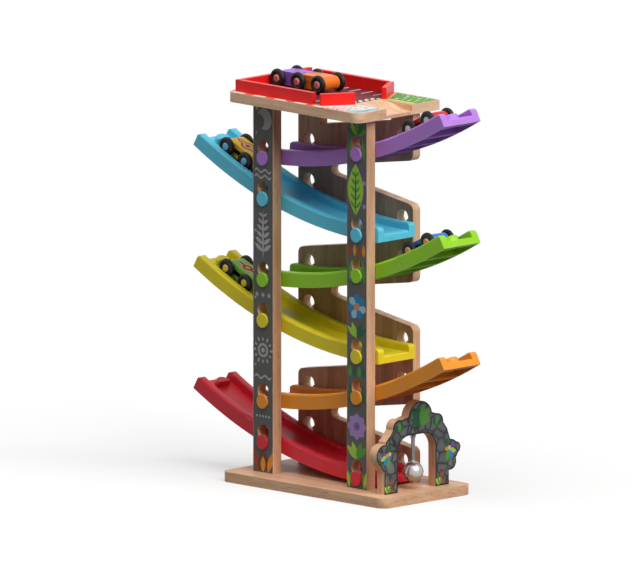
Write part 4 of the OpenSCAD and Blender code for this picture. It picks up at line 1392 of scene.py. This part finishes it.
@dataclass
class FlipCar:
    """A single flip car: body with a print on both sides, two axles with hubs and four wheels.

    Sizes of the print are in millimetres.
    """

    colour: str
    paint: Finish
    rim: Finish
    hub: Finish
    hub_slot: str
    badge: tuple[InkFinish, InkFinish]
    half_h: float = 8.25 * MM
    ring_d: float = 17.0
    heart_d: float = 13.0
    star_d: float = 9.0
    stripe: Range = (19.0, 7.0)
    stripe_line: Range = (17.0, 3.4)

    def build(self) -> None:
        """Dress the body and its wheels, and print the two broad faces."""
        body = f"{self.colour}_car"
        dress(f"{body}_body", self.paint, Edge.CAR)
        for end in ("front", "rear"):
            Wheelset(f"{body}_{end}", f"{body}_{end}_wheelset", self.rim, self.hub, self.hub_slot).build()
        front, rear = (self.axle(end) for end in ("front", "rear"))
        along = (front - rear).normalized()
        for side, out in (("upper", along.cross(Y_AXIS)), ("lower", Y_AXIS.cross(along))):
            PrintedFace(f"{body}_{side}_print", body, f"{body}_paint", (front + rear) / 2 + out * self.half_h,
                        Y_AXIS.cross(out), Y_AXIS, self.marks()).build()

    def axle(self, end: str) -> Vector:
        """Give the middle of one axle."""
        low, high = (Vector(corner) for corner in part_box(f"{self.colour}_car_{end}_axle"))
        return (low + high) / 2

    def marks(self) -> list[Print]:
        """Give a roundel between two tapered stripes."""
        ring, heart = self.badge
        marks: list[Print] = [
            Mark(Shape.DOT, 0, 0, self.ring_d, self.ring_d, ring, layer=2),
            Mark(Shape.DOT, 0, 0, self.heart_d, self.heart_d, heart, layer=3),
            Mark(Shape.STAR, 0, 0, self.star_d, self.star_d, ring, layer=4),
        ]
        for turn in (90, -90):
            marks += fan(0, 0, *self.stripe, (turn,), (ring,))
            marks += fan(0, 0, *self.stripe_line, (turn,), (heart,), layer=2)
        return marks


@dataclass
class TwoPartCar:
    """The hinged car on the deck."""

    halves: dict[str, Finish] = field(default_factory=lambda: {
        "purple_half_body": Palette.CAR_PURPLE, "orange_half_body": Palette.CAR_ORANGE})
    axles: tuple[str, ...] = ("left", "middle", "right")

    def build(self) -> None:
        """Dress both halves and the three wheel sets."""
        for node, finish in self.halves.items():
            dress(node, finish, Edge.CAR)
        for axle in self.axles:
            Wheelset(f"tandem_{axle}", f"tandem_{axle}_wheelset", Palette.RIM_CORAL, Palette.HUB_CORAL,
                     "coral_hub").build()


@dataclass
class Studio:
    """Pale floor, soft light and the camera of the photograph's view."""

    target: Vector = field(default_factory=lambda: Vector((-0.01662, -0.01662, 0.23927)))
    azimuth_deg: float = 45.0
    elevation_deg: float = 10.0
    frame_width: float = 0.7459
    distance: float = 3.0
    view_depth: float = 60.0
    sun_from: Vector = field(default_factory=lambda: Vector((0.54, 0.0, 0.50)))
    sun_power: float = 2.6
    sun_softness_deg: float = 48.0
    sky_from: Vector = field(default_factory=lambda: Vector((0.0, -0.36, 0.93)))
    sky_focus: float = 8.0
    sky_low: float = 0.05
    sky_high: float = 2.4
    floor_half: float = 12.0
    floor_drop: float = 0.2 * MM
    floor_bounce: float = 0.10
    floor_shade: float = 0.5
    floor_glow: float = 0.49
    floor_rough: float = 0.9
    floor_shine: float = 0.1

    def build(self) -> None:
        """Make the floor, the sky, the sun and the camera."""
        self.make_floor()
        self.make_sky()
        self.make_sun()
        self.make_camera()
        bpy.context.scene.view_settings.view_transform = "Standard"

    @staticmethod
    def seen(canvas: Canvas) -> Socket:
        """Give 1 where the camera sees a surface, directly or in a reflection."""
        path = canvas.add("ShaderNodeLightPath").outputs
        seen = canvas.math("MAXIMUM", path["Is Camera Ray"], path["Is Glossy Ray"])
        return canvas.math("MAXIMUM", seen, path["Is Transmission Ray"])

    def make_floor(self) -> None:
        """Lay a wide pale floor that keeps a soft shadow and throws little light back up."""
        half = self.floor_half
        mesh = bpy.data.meshes.new("floor")
        mesh.from_pydata([(-half, -half, 0), (half, -half, 0), (half, half, 0), (-half, half, 0)], [],
                         [(0, 1, 2, 3)])
        floor = bpy.data.objects.new("floor", mesh)
        floor.location.z = -self.floor_drop
        bpy.context.scene.collection.objects.link(floor)
        paper = bpy.data.materials.new("pale_paper")
        paper.use_nodes = True
        canvas = Canvas(paper.node_tree)
        shader = next(n for n in paper.node_tree.nodes if n.type == "BSDF_PRINCIPLED")
        seen = self.seen(canvas)
        canvas.feed(shader.inputs["Base Color"],
                    canvas.mix(seen, (self.floor_bounce,) * 3, (self.floor_shade,) * 3))
        shader.inputs["Emission Color"].default_value = (1, 1, 1, 1)
        canvas.feed(shader.inputs["Emission Strength"], canvas.math("MULTIPLY", seen, self.floor_glow))
        shader.inputs["Roughness"].default_value = self.floor_rough
        shader.inputs["Specular IOR Level"].default_value = self.floor_shine
        mesh.materials.append(paper)

    def make_sky(self) -> None:
        """Light the object softly from above, and show white where the camera sees past it."""
        world = bpy.data.worlds.new("studio")
        world.use_nodes = True
        bpy.context.scene.world = world
        canvas = Canvas(world.node_tree)
        background = next(n for n in world.node_tree.nodes if n.type == "BACKGROUND")
        background.inputs["Color"].default_value = (1, 1, 1, 1)
        lean = canvas.add("ShaderNodeVectorMath", operation="DOT_PRODUCT")
        canvas.feed(lean.inputs[0], canvas.add("ShaderNodeTexCoord").outputs["Generated"])
        canvas.feed(lean.inputs[1], self.sky_from.normalized())
        overhead = canvas.math("POWER", canvas.math("MAXIMUM", lean.outputs["Value"], 0.0), self.sky_focus)
        light = canvas.spread(overhead, 0.0, 1.0, self.sky_low, self.sky_high)
        canvas.feed(background.inputs["Strength"], canvas.math("MAXIMUM", self.seen(canvas), light))

    def make_sun(self) -> None:
        """Hang a large soft lamp to the right of the object."""
        lamp = bpy.data.lights.new("soft_key", "SUN")
        lamp.energy = self.sun_power
        lamp.angle = math.radians(self.sun_softness_deg)
        sun = bpy.data.objects.new("soft_key", lamp)
        sun.rotation_euler = self.sun_from.to_track_quat("Z", "Y").to_euler()
        bpy.context.scene.collection.objects.link(sun)

    def make_camera(self) -> None:
        """Set up the parallel view of the photograph."""
        turn, rise = math.radians(self.azimuth_deg), math.radians(self.elevation_deg)
        back = Vector((math.sin(turn) * math.cos(rise), -math.cos(turn) * math.cos(rise), math.sin(rise)))
        lens = bpy.data.cameras.new("camera")
        lens.type = "ORTHO"
        lens.ortho_scale = self.frame_width
        lens.clip_end = self.view_depth
        camera = bpy.data.objects.new("camera", lens)
        camera.location = self.target + back * self.distance
        camera.rotation_mode = "QUATERNION"
        camera.rotation_quaternion = (-back).to_track_quat("-Z", "Y")
        bpy.context.scene.collection.objects.link(camera)
        bpy.context.scene.camera = camera


def main() -> None:
    """Build the studio and every sub-assembly, and log each one as it is built."""
    logging.basicConfig(level=logging.INFO, format="%(message)s")
    Studio().build()
    assemblies = [
        Stand(), PostPrints(), DeckPrints(), Ramps(), Fence(), Gate(),
        FlipCar("red", Palette.CAR_RED, Palette.RIM_PALE, Palette.HUB_PALE, "pale_hub",
                (Palette.WHITE, Palette.BLACK)),
        FlipCar("yellow", Palette.CAR_YELLOW, Palette.RIM_SKY, Palette.HUB_SKY, "sky_hub",
                (Palette.RUST, Palette.PEACH)),
        FlipCar("blue", Palette.CAR_BLUE, Palette.RIM_AMBER, Palette.HUB_AMBER, "amber_hub",
                (Palette.WHITE, Palette.AMBER)),
        FlipCar("green", Palette.CAR_GREEN, Palette.RIM_YELLOW, Palette.HUB_YELLOW, "yellow_hub",
                (Palette.PEACH, Palette.RUST)),
        TwoPartCar(),
    ]
    for assembly in assemblies:
        assembly.build()
        LOG.info("built %s", type(assembly).__name__)


if __name__ == "__main__":
    main()
